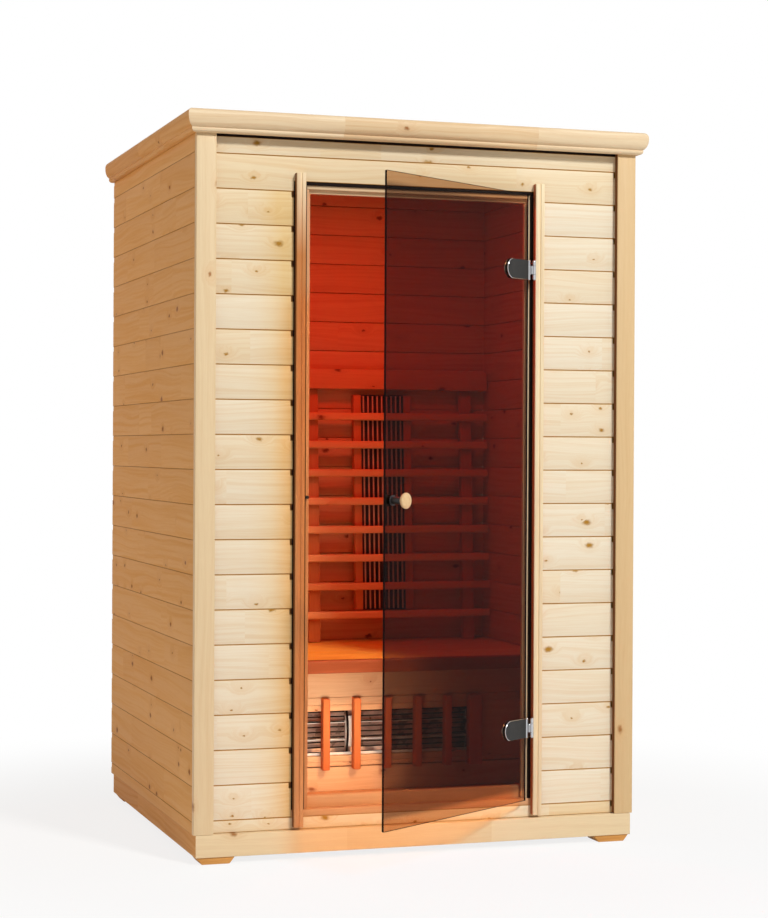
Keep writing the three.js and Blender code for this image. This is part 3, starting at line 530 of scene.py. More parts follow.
def finish_mesh(name, solids, materials):
    """Joins solids into one mesh with the attributes grain and tone, and gives each face its material."""
    starts = np.cumsum([0] + [len(s.points) for s in solids[:-1]])
    points = np.concatenate([s.points for s in solids])
    upright = np.concatenate([s.upright for s in solids])
    loops = np.concatenate([s.loops + first for s, first in zip(solids, starts)])
    counts = np.concatenate([s.counts for s in solids])
    mesh = bpy.data.meshes.new(name)
    mesh.vertices.add(len(points))
    mesh.vertices.foreach_set("co", points.ravel())
    mesh.loops.add(len(loops))
    mesh.loops.foreach_set("vertex_index", loops.astype(np.int32))
    mesh.polygons.add(len(counts))
    mesh.polygons.foreach_set("loop_start", (np.cumsum(counts) - counts).astype(np.int32))
    mesh.update(calc_edges=True)
    order = np.concatenate([np.tile(s.order, (len(s.loops), 1)) for s in solids])
    shift = np.concatenate([s.shift for s in solids])
    grain = np.take_along_axis(upright[loops], order, axis=1) + shift
    tone = np.concatenate([s.tone for s in solids])
    mesh.attributes.new("grain", "FLOAT_VECTOR", "CORNER").data.foreach_set("vector", grain.ravel())
    mesh.attributes.new("tone", "FLOAT", "CORNER").data.foreach_set("value", tone)
    for material in materials:
        mesh.materials.append(material)
    mesh.polygons.foreach_set("material_index", np.concatenate([s.pick for s in solids]).astype(np.int32))
    mesh.shade_smooth()
    mesh.set_sharp_from_angle(angle=SMOOTH_ANGLE)
    return mesh


def add_piece(name, solids, material, replaces=(), body="cabin"):
    """Makes the object, rides it on its body and hides the CAD nodes that it stands for."""
    solids = [solids] if isinstance(solids, Solid) else list(solids)
    materials = list(material) if isinstance(material, (list, tuple)) else [material]
    made = bpy.data.objects.new(name, finish_mesh(name, solids, materials))
    bpy.context.scene.collection.objects.link(made)
    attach(made, body)
    if replaces:
        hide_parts(*replaces)
    print(f"{name}: {len(solids)} solids, {len(made.data.polygons)} faces")
    return made


print("edges sharper than", round(math.degrees(SMOOTH_ANGLE)), "degrees stay sharp")

# %% [markdown]
# ## Board walls
# A wall is a stack of boards. The edges of each board are eased, and between two boards a narrow slot shows
# the tongue in shadow. At its free ends the outer lip of a board is notched under the seam, which shows as
# a small dark mark. Long boards are finger jointed from shorter lengths, so the tone changes along them. On
# the topmost front board lies a black strip in the gap to the roof, painted shade for that gap.
# A bump map could draw the seams on a flat wall, but then they would vanish at a grazing angle. Real edges
# catch the light and cast a shadow from every side.

# %% One board
SEAM_HALF = 0.3 * MM
INNER_SEAM_HALF = 1.0 * MM
PLAIN_SEAM_HALF = 0.1 * MM
SEAM_DEPTH = 12.0 * MM
BOARD_EASE = 1.3 * MM
NOTCH_LENGTH = 6.0 * MM
NOTCH_DROP = 14.0 * MM
STEP = 0.4 * MM
FIT = 0.3 * MM
# The GLOW numbers shape a painted warm shade that deepens a board's tone towards one end.
GLOW_LENGTH = 118.0 * MM
GLOW_RINGS = 4
GLOW_BEND = 1.5


def board_section(height, thick, g=SEAM_HALF):
    """Outline of a board as (out, up): out is 0 on the outer face and -thick on the inner one.

    Both faces have an upper and a lower lip that stop short of the seam, the outer ones by g; the middle
    reaches the seam.
    """
    h, s = INNER_SEAM_HALF, SEAM_DEPTH
    outer = [(-s, 0), (-s, g), (0, g), (0, height - g), (-s, height - g), (-s, height)]
    inner = [(s - thick, height), (s - thick, height - h), (-thick, height - h), (-thick, h), (s - thick, h),
             (s - thick, 0)]
    ease_at = [0, 0, BOARD_EASE, BOARD_EASE, 0, 0]
    return rounded(outer + inner, ease_at + ease_at[::-1], steps=2)


def board(place, start, end, level, height, thick, notches=(0.0, 0.0), gap=None, joints=1, sunk=0.0,
          tones=(0.25, 0.55), seam_half=SEAM_HALF, glow=0.0):
    """A board from start to end. place turns (along, out, up) into a point of the frame.

    Ring k is the section at place s_k, with the outer lip's top lowered by drop_k at a notch, and with the
    underside raised by rise_k over gap = (from, to, rise), where the board is cut out over the doorway.
    notches are the lengths of the notches at the two ends, and seam_half is half the width of the slot in
    the outer face. sunk lowers the lip over the whole length, which leaves a gap above the board. Each
    length of wood has a tone of its own from the span tones. Over the last GLOW_LENGTH the tone rises by
    glow (1 - d / GLOW_LENGTH) ** GLOW_BEND, with d the distance to the end: a painted warm shade towards
    that end. The inner face takes the second material, and the edges along the outer seams take the third.
    """
    section = board_section(height, thick, seam_half)
    lip = (section[:, 0] > -SEAM_DEPTH - 0.1 * MM) & (section[:, 1] > height / 2)
    lip &= section[:, 1] < height - seam_half / 2
    foot = section[:, 1] < height / 2
    marks = rng.uniform(0.12, 0.88, joints) * (end - start) + start
    cuts = [start, end, *marks]
    near, far = notches
    if near:
        cuts += [start + near, start + near + STEP]
    if far:
        cuts += [end - far - STEP, end - far]
    if gap:
        cuts += [gap[0], gap[0] + STEP, gap[1] - STEP, gap[1]]
    if glow:
        cuts += list(end - GLOW_LENGTH * np.arange(1, GLOW_RINGS + 1) / GLOW_RINGS)
    s = np.sort(cuts)
    notched = (near > 0) & (s < start + near + STEP / 2) | (far > 0) & (s > end - far - STEP / 2)
    drop = NOTCH_DROP * notched + sunk
    rise = gap[2] * ((s > gap[0]) & (s < gap[1])) if gap else np.zeros(len(s))
    up = section[None, :, 1] - drop[:, None] * lip + rise[:, None] * foot
    out = np.broadcast_to(section[None, :, 0], up.shape)
    along = np.broadcast_to(s[:, None], up.shape)
    stretch = np.searchsorted(np.sort(marks), (s[1:] + s[:-1]) / 2)
    tone = rng.uniform(*tones, joints + 1)[stretch]
    rising = glow * np.clip(1 - (end - s) / GLOW_LENGTH, 0, 1) ** GLOW_BEND
    tone = tone[:, None] + np.stack([rising[:-1], rising[1:]], axis=-1)
    made = Solid(place(along, out, up + level), place.run, tone, stretch)
    inside = section[:, 0] < -thick / 2
    inside &= np.roll(inside, -1)
    middle_off = np.abs(section[:, 1] - height / 2)
    seam = middle_off > height / 2 - seam_half - 1.01 * BOARD_EASE
    seam &= np.roll(seam, -1) & (np.abs(np.roll(section[:, 1], -1) - section[:, 1]) < height / 2)
    picks = np.where(inside, 1, np.where(seam, 2, 0))
    made.pick[:len(stretch) * len(section)] = np.tile(picks, len(stretch))
    return made


class Wall:
    """Turns a board's (along, out, up) into points: along runs on one axis, out from the outer face."""

    def __init__(self, run, face, outward):
        self.run = run
        self.face = face
        self.outward = outward

    def __call__(self, along, out, up):
        across = self.face + self.outward * out
        return np.stack([along, across, up] if self.run == "x" else [across, along, up], axis=-1)


print("board section points", len(board_section(0.0884, 0.028)))

# %% Board levels, from the plinth to the roof
left_low, left_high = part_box("left_wall")
front_low, front_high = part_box("front_wall_left")
back_low, back_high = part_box("back_wall")
header_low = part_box("front_header")[0]
sill_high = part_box("sill_board")[1]
BOARD_COVER = 88.4 * MM
FRONT_THICK = front_high.y - front_low.y
SIDE_THICK = left_high.x - left_low.x
seams = np.arange(sill_high.z, front_high.z - BOARD_COVER / 4, BOARD_COVER)
levels = np.r_[front_low.z, seams, front_high.z]
print("boards per wall", len(levels) - 1, "board cover mm", round(BOARD_COVER / MM, 1))

# %% Front, with the doorway
PANEL_END = front_high.x
TOP_GAP = 8 * MM
NOTCH_SEEN = 3.5 * MM
END_NOTCH = -front_low.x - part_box("corner_strip_right")[0].x + NOTCH_SEEN
# The right boards keep a pale tone span, painted light.
RIGHT_BOARDS = (0.0, 0.25)


def front_boards():
    """Boards beside the doorway, and whole boards above and below it.

    Their tones are partly painted light and shade: they are palest on the right and near the floor, painted
    light, and a deeper gold at the ends by the left casing, painted warm shade.
    """
    place = Wall("x", front_low.y, -1.0)
    side = -front_low.x
    made = []
    for low, high in zip(levels[:-1], levels[1:]):
        spot = (low, high - low, FRONT_THICK)
        if high <= sill_high.z + MM or low >= header_low.z:
            sunk = TOP_GAP if high == levels[-1] else 0.0
            notch = 0.0 if sunk else END_NOTCH
            made.append(board(place, -side, side, *spot, (0.0, notch), joints=2, sunk=sunk))
        elif high > header_low.z:
            cut = (PANEL_END, -PANEL_END, header_low.z - low)
            made.append(board(place, -side, side, *spot, (0.0, END_NOTCH), cut))
        else:
            # Lower left boards get paler tones, painted light against the shading near the floor, and glow
            # 1.0 paints a warm shade on their ends by the casing.
            share = (low - sill_high.z) / (header_low.z - sill_high.z)
            left_tones = (0.2 * share, 0.05 + 0.5 * share)
            for start, end, notch, tones, glow in ((-side, PANEL_END, NOTCH_LENGTH, left_tones, 1.0),
                                                   (-PANEL_END, side, END_NOTCH, RIGHT_BOARDS, 0.0)):
                many = int(rng.integers(0, 2))
                made.append(board(place, start, end, *spot, (0.0, notch), joints=many, tones=tones,
                                  glow=glow))
    return made


add_piece("front_boards", front_boards(), [SPRUCE, INNER, SEAM_WOOD],
          ["front_wall_left", "front_wall_right", "front_header", "sill_board"])
# A black strip in the gap under the roof: painted shade for that gap.
roof_shade_low = (front_low.x, front_low.y + MM, front_high.z - TOP_GAP - SEAM_HALF + FIT)
roof_shade_high = (-front_low.x, front_low.y + SEAM_DEPTH - FIT, front_high.z - FIT)
add_piece("roof_seal", bar(roof_shade_low, roof_shade_high, "x", 0.8 * MM), BLACK_SEAL_AND_SHADE)

# %% Sides and back
def plain_wall(place, start, end, notches):
    """Whole boards from the plinth to the roof, with narrow seams."""
    return [board(place, start, end, low, high - low, SIDE_THICK, notches, joints=2,
                  seam_half=PLAIN_SEAM_HALF)
            for low, high in zip(levels[:-1], levels[1:])]


left_wall = plain_wall(Wall("y", left_low.x, -1.0), left_low.y, left_high.y, (0.0, NOTCH_LENGTH))
right_wall = plain_wall(Wall("y", -left_low.x, 1.0), left_low.y, left_high.y, (0.0, NOTCH_LENGTH))
back_wall = plain_wall(Wall("x", back_high.y, 1.0), back_low.x, back_high.x, (0.0, 0.0))
# Both side walls take the side spruce, partly painted warm shade.
add_piece("left_wall_boards", left_wall, [SIDE_SPRUCE, INNER, SEAM_WOOD], ["left_wall"])
add_piece("right_wall_boards", right_wall, [SIDE_SPRUCE, INNER, SEAM_WOOD], ["right_wall"])
add_piece("back_wall_boards", back_wall, [SPRUCE, INNER, SEAM_WOOD], ["back_wall"])

# %% [markdown]
# ## Plinth, floor and feet
# The cabin stands on four low feet. On them lies a frame of four beams with a rebate on the inside, and the
# floor boards lie in that rebate. A beam is one stepped section that runs along each side, and the four meet
# in mitres. A frame with a Boolean cut would give the same step, but the grain would not turn with each side.

# %% Plinth
floor_low, floor_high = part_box("floor_panel")
BEAM_WIDTH = 60 * MM


def beam(place, start, end):
    """One beam of the plinth: a rectangle with a rebate for the floor, cut at 45 degrees at both ends.

    Ring k lies at station + slant * out. Out is negative behind the face, so the inner edge is shorter.
    """
    lip = floor_low.x - base_low.x - FIT
    ledge = floor_low.z - base_low.z - FIT
    tall = base_high.z - base_low.z
    corners = [(0, 0), (-BEAM_WIDTH, 0), (-BEAM_WIDTH, ledge), (-lip, ledge), (-lip, tall), (0, tall)]
    section = rounded(corners, np.array([2.5, 2.5, 1.0, 0.0, 1.0, 2.5]) * MM)
    out, up = section.T
    stations = np.linspace(start + FIT / 2, end - FIT / 2, 4)
    along = stations[:, None] + np.array([-1, 0, 0, 1])[:, None] * out
    rings = place(along, np.broadcast_to(out, along.shape), np.broadcast_to(up + base_low.z, along.shape))
    return Solid(rings, place.run, rng.uniform(0.1, 0.5, 3), joints=[0, 0, 1])


add_piece("plinth_front_and_back", [beam(Wall("x", base_low.y, -1.0), base_low.x, base_high.x),
                                    beam(Wall("x", base_high.y, 1.0), base_low.x, base_high.x)],
          PLANED, ["base_frame"])
# The plinth's sides take the warmer side wood, partly painted shade.
add_piece("plinth_sides", [beam(Wall("y", base_low.x, -1.0), base_low.y, base_high.y),
                           beam(Wall("y", base_high.x, 1.0), base_low.y, base_high.y)],
          SIDE_SHADE_SPRUCE)

# %% Floor and feet
FLOOR_BOARDS = 11
FOOT_TAPER = 13 * MM
FEET = ["foot_front_left", "foot_front_right", "foot_back_left", "foot_back_right"]


def planks(low, high, run, across, count, radius, gap=0.6 * MM):
    """Boards side by side that fill a box: it is cut into count equal strips along the axis across.

    The grain's second axis is the axis across, so the knots lie on the broad faces.
    """
    k = "xyz".index(across)
    along = "xyz".index(run)
    edges = np.linspace(low[k], high[k], count + 1)
    made = []
    for near, far in zip(edges[:-1], edges[1:]):
        start, end = np.array(low, float), np.array(high, float)
        start[k] = near + gap / 2
        end[k] = far - gap / 2
        plank = bar(start, end, run, radius)
        plank.order = [along, k, 3 - along - k]
        made.append(plank)
    return made


def foot(node):
    """A block that narrows downwards: a trapezoid carried from its front to its back."""
    low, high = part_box(node)
    corners = [(low.x + FOOT_TAPER, low.z), (high.x - FOOT_TAPER, low.z), (high.x, high.z), (low.x, high.z)]
    return moulding(rounded(corners, 2 * MM), "y", low.y, high.y, 1.5 * MM, grain="x")


floor_planks = planks(floor_low, floor_high, "x", "y", FLOOR_BOARDS, 1.2 * MM)
add_piece("floor_boards", floor_planks, INNER, ["floor_panel"])
# The feet take the warmer side wood, partly painted shade.
add_piece("feet", [foot(node) for node in FEET], SIDE_SHADE_SPRUCE, FEET)

# %% [markdown]
# ## Corner strips, roof and cornice
# Planed strips cover the board ends at the two front corners. The roof is boarded too, and a moulded
# cornice hides its edge on three sides. The moulding has a bead below, a step, and a full round nose above;
# its three lengths meet in mitres, so each ring at a mitre is slanted by 45 degrees. A bevelled curve round
# the corner would be quicker, but it would bend the grain where a joiner cuts it.

# %% Strips and roof
STRIPS = {"corner_strip_left": 0.2, "corner_strip_right": 0.75}
STRIP_EASE = 2.2 * MM
ROOF_BOARDS = 12


def paint_side_shade(made, outline, sides, pick):
    """Gives the painted shade pick to the faces of an upright moulding that lie at one of the sides x."""
    on = np.isclose(outline[:, :1], sides).any(axis=1)
    on &= np.roll(on, -1)
    made.pick[:-2] = pick * np.tile(on, (len(made.pick) - 2) // len(outline))
    return made


def strip(node, tone):
    """A planed strip; its face towards the doorway takes the second material, a painted shade."""
    low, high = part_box(node)
    corners = [(low.x, low.y), (high.x, low.y), (high.x, high.y), (low.x, high.y)]
    outline = rounded(corners, STRIP_EASE)
    made = moulding(outline, "z", low.z, high.z, 0.8 * STRIP_EASE, tone)
    return paint_side_shade(made, outline, [min(low.x, high.x, key=abs)], 1)


strips = [strip(node, tone) for node, tone in STRIPS.items()]
add_piece("corner_strips", strips, [PLANED, SHADE_EDGE_WOOD], list(STRIPS))
roof_low, roof_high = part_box("roof_panel")
roof_planks = planks(roof_low, roof_high, "x", "y", ROOF_BOARDS, 1.5 * MM)
add_piece("roof_boards", roof_planks, SPRUCE, ["roof_panel"])

# %% Cornice
crown_low, crown_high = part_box("cornice_front")
CROWN_OUT = roof_low.y - FIT - crown_low.y
CROWN_TALL = crown_high.z - crown_low.z
BEAD_OUT = 15 * MM
BEAD_TALL = 12 * MM
NOSE_LEVEL = 41 * MM
MITRE_GAP = 0.15 * MM
FRONT_JOINTS, SIDE_JOINT = (-0.22, 0.31), 0.25


def curve(a, pull, b, steps=9):
    """Points of (1-s)^2 a + 2 s (1-s) pull + s^2 b for s from 0 to 1."""
    s = np.linspace(0, 1, steps)[:, None]
    return (1 - s) ** 2 * np.array(a) + 2 * s * (1 - s) * np.array(pull) + s ** 2 * np.array(b)


def cornice_section():
    """Outline as (out, up): bead, step, nose swelling to CROWN_OUT at NOSE_LEVEL, and a rounded top."""
    o, t, n = CROWN_OUT, CROWN_TALL, NOSE_LEVEL
    b, k = BEAD_OUT, BEAD_TALL
    bead = curve((4 * MM, 0), (b, 0), (b, k - 2 * MM))
    step = curve((b - MM, k), (b, k + MM), (b + 2 * MM, k + 2 * MM), 4)
    swell = curve((b + 4 * MM, k + 4 * MM), (o, 0.62 * n), (o, n))[1:]
    nose = curve((o, n), (o, t - MM), (0.55 * o, t))[1:]
    return np.concatenate([[(0, 0)], bead, step, swell, nose, [(0, t)]])


def mitred(place, stations, slants, joints):
    """The cornice along one side: ring k lies at station + slant * out, so a slant of 1 makes a mitre."""
    section = cornice_section()
    out, up = section.T
    along = np.array(stations)[:, None] + np.array(slants)[:, None] * out
    rings = place(along, np.broadcast_to(out, along.shape), np.broadcast_to(up + crown_low.z, along.shape))
    return Solid(rings, place.run, rng.uniform(0.1, 0.5, len(stations) - 1), joints=joints)


edge = roof_high.x + FIT
near_edge = roof_low.y - FIT
crown_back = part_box("cornice_left")[1].y
front_stations = [MITRE_GAP - edge, *FRONT_JOINTS, edge - MITRE_GAP]
side_stations = [near_edge + MITRE_GAP, SIDE_JOINT, crown_back]
add_piece("cornice_front", mitred(Wall("x", near_edge, -1.0), front_stations, [-1, 0, 0, 1], [0, 1, 2]),
          CROWN, ["cornice_front"])
# The cornice's sides take the warmer side wood, partly painted shade.
add_piece("cornice_sides", [mitred(Wall("y", -edge, -1.0), side_stations, [-1, 0, 0], [0, 1]),
                            mitred(Wall("y", edge, 1.0), side_stations, [-1, 0, 0], [0, 1])],
          SIDE_SHADE_SPRUCE, ["cornice_left", "cornice_right"])

# %% [markdown]
# ## Door frame
# The doorway is lined with stepped wood, so that the glass closes against a rebate. Each lining is two bars,
# one a step further back from the opening than the other, and in the outermost step lies a black strip,
# partly a real seal and partly painted shade for the deep rebate. Below is a threshold with a round bar
# behind it, and narrow grooved casings cover the joint with the boards. Their sides are painted dark,
# painted shade that draws a fine line beside the boards. One stepped moulding could line each side; two
# plain bars are what a joiner would glue up, and their steps can be changed one by one.

# %% Linings
jamb_low, jamb_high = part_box("jamb_left")
head_low, head_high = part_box("door_head")
OPENING = -jamb_high.x
FRAME_END = -jamb_low.x
LAYERS = [(6, 16, 6, 10), (16, 28, 0, 0)]
# SEAL is the black strip in the outermost step: partly a real seal, partly painted shade for the rebate.
SEAL = (1.5, 5.9, 12.5, 19.5)
LINING_EASE, LINING_SKIN = 1.0 * MM, 0.05 * MM
# The left lining's deep tone is painted amber shade from the door glass.
LEFT_TONE, RIGHT_TONE, HEAD_TONE = 0.75, 0.2, 0.3


def linings():
    """For each layer (from, to, side step, head step, in mm behind the frame's front): two jambs and a head.

    The black strip in the outermost step, partly a real seal and partly painted shade for the rebate, is
    one more such layer.
    """
    made = []
    for near, far, side_step, head_step in np.array([*LAYERS, SEAL]) * MM:
        front, behind = jamb_low.y + near + LINING_SKIN, jamb_low.y + far - LINING_SKIN
        top = head_low.z + head_step
        face = OPENING + side_step
        left = (-FRAME_END, front, jamb_low.z), (-face, behind, top - FIT)
        right = (face, front, jamb_low.z), (FRAME_END, behind, top - FIT)
        head = (-FRAME_END, front, top), (FRAME_END, behind, head_high.z)
        made += [bar(*left, "z", LINING_EASE, LEFT_TONE), bar(*right, "z", LINING_EASE, RIGHT_TONE),
                 bar(*head, "x", LINING_EASE, HEAD_TONE)]
    return made


layers = linings()
add_piece("door_linings", layers[:6], FRAME_WOOD, ["jamb_left", "jamb_right", "door_head"])
add_piece("door_seal", layers[6:], BLACK_SEAL_AND_SHADE)

# %% Threshold and casings
sill_top = jamb_low.z - FIT
step_low, step_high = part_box("threshold")
ROUND_BAR, ROUND_BAR_TONE = 20 * MM, 0.6
SILL_GAP, SILL_TONE = 1.5 * MM, 0.65
GROOVE = 2.6 * MM


def threshold():
    """A flat sill in the wall's thickness and behind it a bar whose top is rounded over."""
    (x0, y0, z0), (x1, y1, z1) = step_low, step_high
    inside = y1 - ROUND_BAR
    flat = bar((x0, y0, sill_high.z + FIT), (x1, inside - SILL_GAP, sill_top), "x", 1.5 * MM, SILL_TONE)
    corners = [(inside, z0), (y1, z0), (y1, z1), (inside, z1)]
    outline = rounded(corners, np.array([1, 1, 9, 9]) * MM, 6)
    return [flat, moulding(outline, "x", x0, x1, MM, ROUND_BAR_TONE)]


def casing(node, tones, side_shade):
    """A narrow cover strip with a groove along its middle; tones are stops from its foot to its top.

    Its two sides take the last argument's material, a painted shade: these are the faces whose outline
    points lie on either side.
    """
    low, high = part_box(node)
    middle = (low.x + high.x) / 2
    x = middle + GROOVE * np.array([-1.0, -0.5, 0.5, 1.0])
    floor = low.y + GROOVE
    corners = [(low.x, high.y), (low.x, low.y), (x[0], low.y), (x[1], floor), (x[2], floor), (x[3], low.y),
               (high.x, low.y), (high.x, high.y)]
    outline = rounded(corners, np.array([0.5, 3, 0.5, 0.2, 0.2, 0.5, 3, 0.5]) * MM)
    made = moulding(outline, "z", low.z, high.z, MM, tones, parts=8)
    return paint_side_shade(made, outline, [low.x, high.x], side_shade)


add_piece("threshold_bars", threshold(), FRAME_WOOD, ["threshold"])
# The left casing is deep amber up to near its top, painted amber shade from the door glass; the right one
# stays pale. The left casing's sides take the dark edge wood and the right one's the brown wood, both painted
# shade.
LEFT_TONES = (0.75, 0.8, 0.85, 0.85, 0.85, 0.9, 0.9, 0.95, 0.15)
RIGHT_TONES = (0.2, 0.0)
add_piece("casings", [casing("casing_left", LEFT_TONES, 1), casing("casing_right", RIGHT_TONES, 2)],
          [FRAME_WOOD, SHADE_EDGE_WOOD, BROWN_SHADE_WOOD], ["casing_left", "casing_right"])

# %% [markdown]
# ## Glass door
# The door is built flat in its own frame, with the hinge line as its Z axis and the glass running out along
# -X, and is then turned to the angle at which it stands ajar. That angle is the joint's way back to closed.
# Points could be worked out on the slant at once, but measures along a flat door are easier to read.

# %% The hinge line
hinge = next(j for j in frame["joints"] if j["name"] == "door_hinge")
HINGE_LINE = np.array([hinge["pos_m"][0], hinge["pos_m"][1], 0.0])
AJAR = -math.radians(hinge["range_deg"][0])
SWING = np.array([[math.cos(AJAR), -math.sin(AJAR), 0], [math.sin(AJAR), math.cos(AJAR), 0], [0, 0, 1.0]])


def hung(solid):
    """The solid turned by the door's angle about the hinge line: p' = line + R p."""
    solid.points = solid.points @ SWING.T + HINGE_LINE
    return solid


def plate(outline, near, far, chamfer):
    """A flat plate: an outline in (x, z) carried from near to far along Y, its faces smaller by the chamfer.

    Its two faces take the first material and its rim the second.
    """
    level = np.array([near, near + chamfer, far - chamfer, far])
    inset = np.array([chamfer, 0, 0, chamfer])
    low, high = outline.min(axis=0), outline.max(axis=0)
    middle, half = (low + high) / 2, (high - low) / 2
    flat = middle + (outline - middle) * ((half - inset[:, None]) / half)[:, None, :]
    depth = np.broadcast_to(level[:, None], flat.shape[:2])
    return Solid(np.stack([flat[..., 0], depth, flat[..., 1]], axis=-1), "x", 0.3, picks=(1, 0))


print("door stands ajar by", round(math.degrees(AJAR), 1), "degrees")

# %% Pane
glass_low, glass_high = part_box("door_glass")
GLASS_NEAR, GLASS_FAR = 12 * MM, 618 * MM
GLASS_FRONT, GLASS_BEHIND = 10.5 * MM, 16.5 * MM
corners = [(-GLASS_FAR, glass_low.z), (-GLASS_NEAR, glass_low.z),
           (-GLASS_NEAR, glass_high.z), (-GLASS_FAR, glass_high.z)]
pane = hung(plate(rounded(corners, 3 * MM, 4), GLASS_FRONT, GLASS_BEHIND, 0.4 * MM))
add_piece("door_pane", pane, [GLASS, GLASS_RIM], ["door_glass"], "door")

# %% [markdown]
# ### Hinges
# A hinge grips the glass between two plates, each square at the hinge and round at its far end. The front
# plate turns over into a bright flange, whose barrel holds a pin between the two barrels of a leaf that is
# screwed to the casing. Both hinges are alike, so one loop makes them from plates, bars and pegs. What turns
# with the door and what stays on the frame are separate pieces, so that the door can swing.

# %% Pegs and hinge plates
PLATE_REACH, PLATE_HALF = 112 * MM, 26 * MM
PLATE_THICK, PLATE_CHAMFER = 4 * MM, 0.9 * MM
BACK_PLATE_START = 16 * MM
FLANGE_START, FLANGE_END, FLANGE_RISE = 8.6 * MM, 17 * MM, 0.8 * MM
NECK_START, NECK_FRONT = 9.5 * MM, 0.5 * MM
BARREL, BARREL_HALF = 4.7 * MM, 11 * MM
CLEAR = 0.3 * MM
HINGES = {"top": np.mean([v.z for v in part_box("hinge_clamp_top")]),
          "bottom": np.mean([v.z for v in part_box("hinge_clamp_bottom")])}


def peg(radius, start, end, axis, at, rim=1.0 * MM, sides=32):
    """A round peg with rounded ends along an axis: rings of radius r - shrink at the eased places."""
    place, shrink = ease(start, end, rim, 4)
    return spun(radius - shrink, place, axis, at, sides)


def round_ended(start, level):
    """Outline of a hinge plate: square at the hinge, and at the far end an arc of the plate's half height."""
    a = np.linspace(np.pi / 2, 3 * np.pi / 2, 25)
    centre = PLATE_HALF - PLATE_REACH
    arc = np.stack([centre + PLATE_HALF * np.cos(a), level + PLATE_HALF * np.sin(a)], axis=-1)
    return np.concatenate([arc, [(-start, level - PLATE_HALF), (-start, level + PLATE_HALF)]])


def moving_half(level):
    """What turns with the door: front plate, bright flange, neck, middle barrel and back plate."""
    front = GLASS_FRONT - CLEAR
    flange = bar((-FLANGE_END, front - PLATE_THICK - FLANGE_RISE, level - PLATE_HALF),
                 (-FLANGE_START, front, level + PLATE_HALF), "z", MM)
    neck = bar((-NECK_START, NECK_FRONT, level - BARREL_HALF),
               (-MM, front - MM, level + BARREL_HALF), "z", MM)
    barrel = peg(BARREL, level - BARREL_HALF, level + BARREL_HALF, "z", (0, 0, 0), 0.6 * MM)
    behind = GLASS_BEHIND + CLEAR
    plates = [plate(round_ended(FLANGE_END + CLEAR, level), front - PLATE_THICK, front, PLATE_CHAMFER),
              plate(round_ended(BACK_PLATE_START, level), behind, behind + PLATE_THICK, PLATE_CHAMFER)]
    # The plates' faces take the dark chrome, painted shade; their rims and the flange, neck and barrel take
    # the plain chrome.
    bright = [flange, neck, barrel]
    for solid in bright:
        solid.pick[:] = 1
    return [hung(solid) for solid in plates + bright]


print("hinges at", {which: round(float(level), 3) for which, level in HINGES.items()}, "m")

# %% Hinge leaves and the whole hinges
LEAF_NEAR, LEAF_FAR, LEAF_FRONT = 3.5 * MM, 5.7 * MM, 2 * MM


def fixed_half(node, level):
    """What stays on the casing: the leaf, its two barrels, and the pin with its round caps."""
    x, y, _ = HINGE_LINE
    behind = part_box(node)[1].y
    leaf = bar((x + LEAF_NEAR, y + LEAF_FRONT, level - PLATE_HALF),
               (x + LEAF_FAR, behind, level + PLATE_HALF), "z", 0.6 * MM)
    inner, outer = BARREL_HALF + CLEAR, PLATE_HALF - 1.5 * MM
    made = [leaf]
    for start, end in ((level + inner, level + outer), (level - outer, level - inner)):
        made.append(peg(BARREL, start, end, "z", HINGE_LINE, 0.6 * MM))
    for start, end in ((level + outer, level + PLATE_HALF), (level - PLATE_HALF, level - outer)):
        made.append(peg(0.8 * BARREL, start, end, "z", HINGE_LINE, 0.7 * MM))
    return made


for which, level in HINGES.items():
    add_piece(f"hinge_{which}", moving_half(level), [SHADED_CHROME, CHROME],
              [f"hinge_clamp_{which}", f"hinge_back_plate_{which}"], "door")
    add_piece(f"hinge_{which}_leaf", fixed_half(f"hinge_leaf_{which}", level), CHROME,
              [f"hinge_leaf_{which}"])

# %% [markdown]
# ### Knob and catch
# The knob is a turned wooden head on a black collar, with a black disc on the inner side of the glass. Its
# head is a mushroom: a low dome in front that narrows towards the collar. A squashed sphere would come near,
# but it has no neck; a profile turned about an axis is also how the real one is made on a lathe. The catch is
# a plain peg on the jamb, with a magnet that holds the door.

# %% Knob
KNOB_X, KNOB_Z = -591 * MM, 920 * MM
HEAD_RADIUS, HEAD_LENGTH, HEAD_CROWN = 19.5 * MM, 16 * MM, 5 * MM
COLLAR_RADIUS, COLLAR_LENGTH = 9 * MM, 31 * MM
DISC_RADIUS, DISC_LENGTH = 15 * MM, 9 * MM


def knob_head():
    """A mushroom: one curve from the face's middle out to the widest ring, and one back in to the collar."""
    widest = (HEAD_RADIUS, HEAD_CROWN)
    face = curve((0.3 * MM, 0), (HEAD_RADIUS, 0), widest, 12)
    neck = curve(widest, (HEAD_RADIUS, 0.7 * HEAD_LENGTH), (COLLAR_RADIUS + MM, HEAD_LENGTH), 12)
    r, depth = np.concatenate([face, neck[1:]]).T
    front = GLASS_FRONT - 2 * CLEAR - COLLAR_LENGTH - HEAD_LENGTH
    return spun(r, front + depth, "y", (KNOB_X, 0, KNOB_Z))


collar_end = GLASS_FRONT - CLEAR
disc_start = GLASS_BEHIND + CLEAR
axle = (KNOB_X, 0, KNOB_Z)
fitting = [peg(COLLAR_RADIUS, collar_end - COLLAR_LENGTH, collar_end, "y", axle, 0.8 * MM),
           peg(1.45 * COLLAR_RADIUS, collar_end - 3 * MM, collar_end - 0.1 * MM, "y", axle, 0.8 * MM),
           peg(DISC_RADIUS, disc_start, disc_start + DISC_LENGTH, "y", axle, 2.0 * MM)]
add_piece("knob_fitting", [hung(s) for s in fitting], BLACK, ["knob_fitting"], "door")
add_piece("knob_head", hung(knob_head()), CROWN, ["knob_head"], "door")

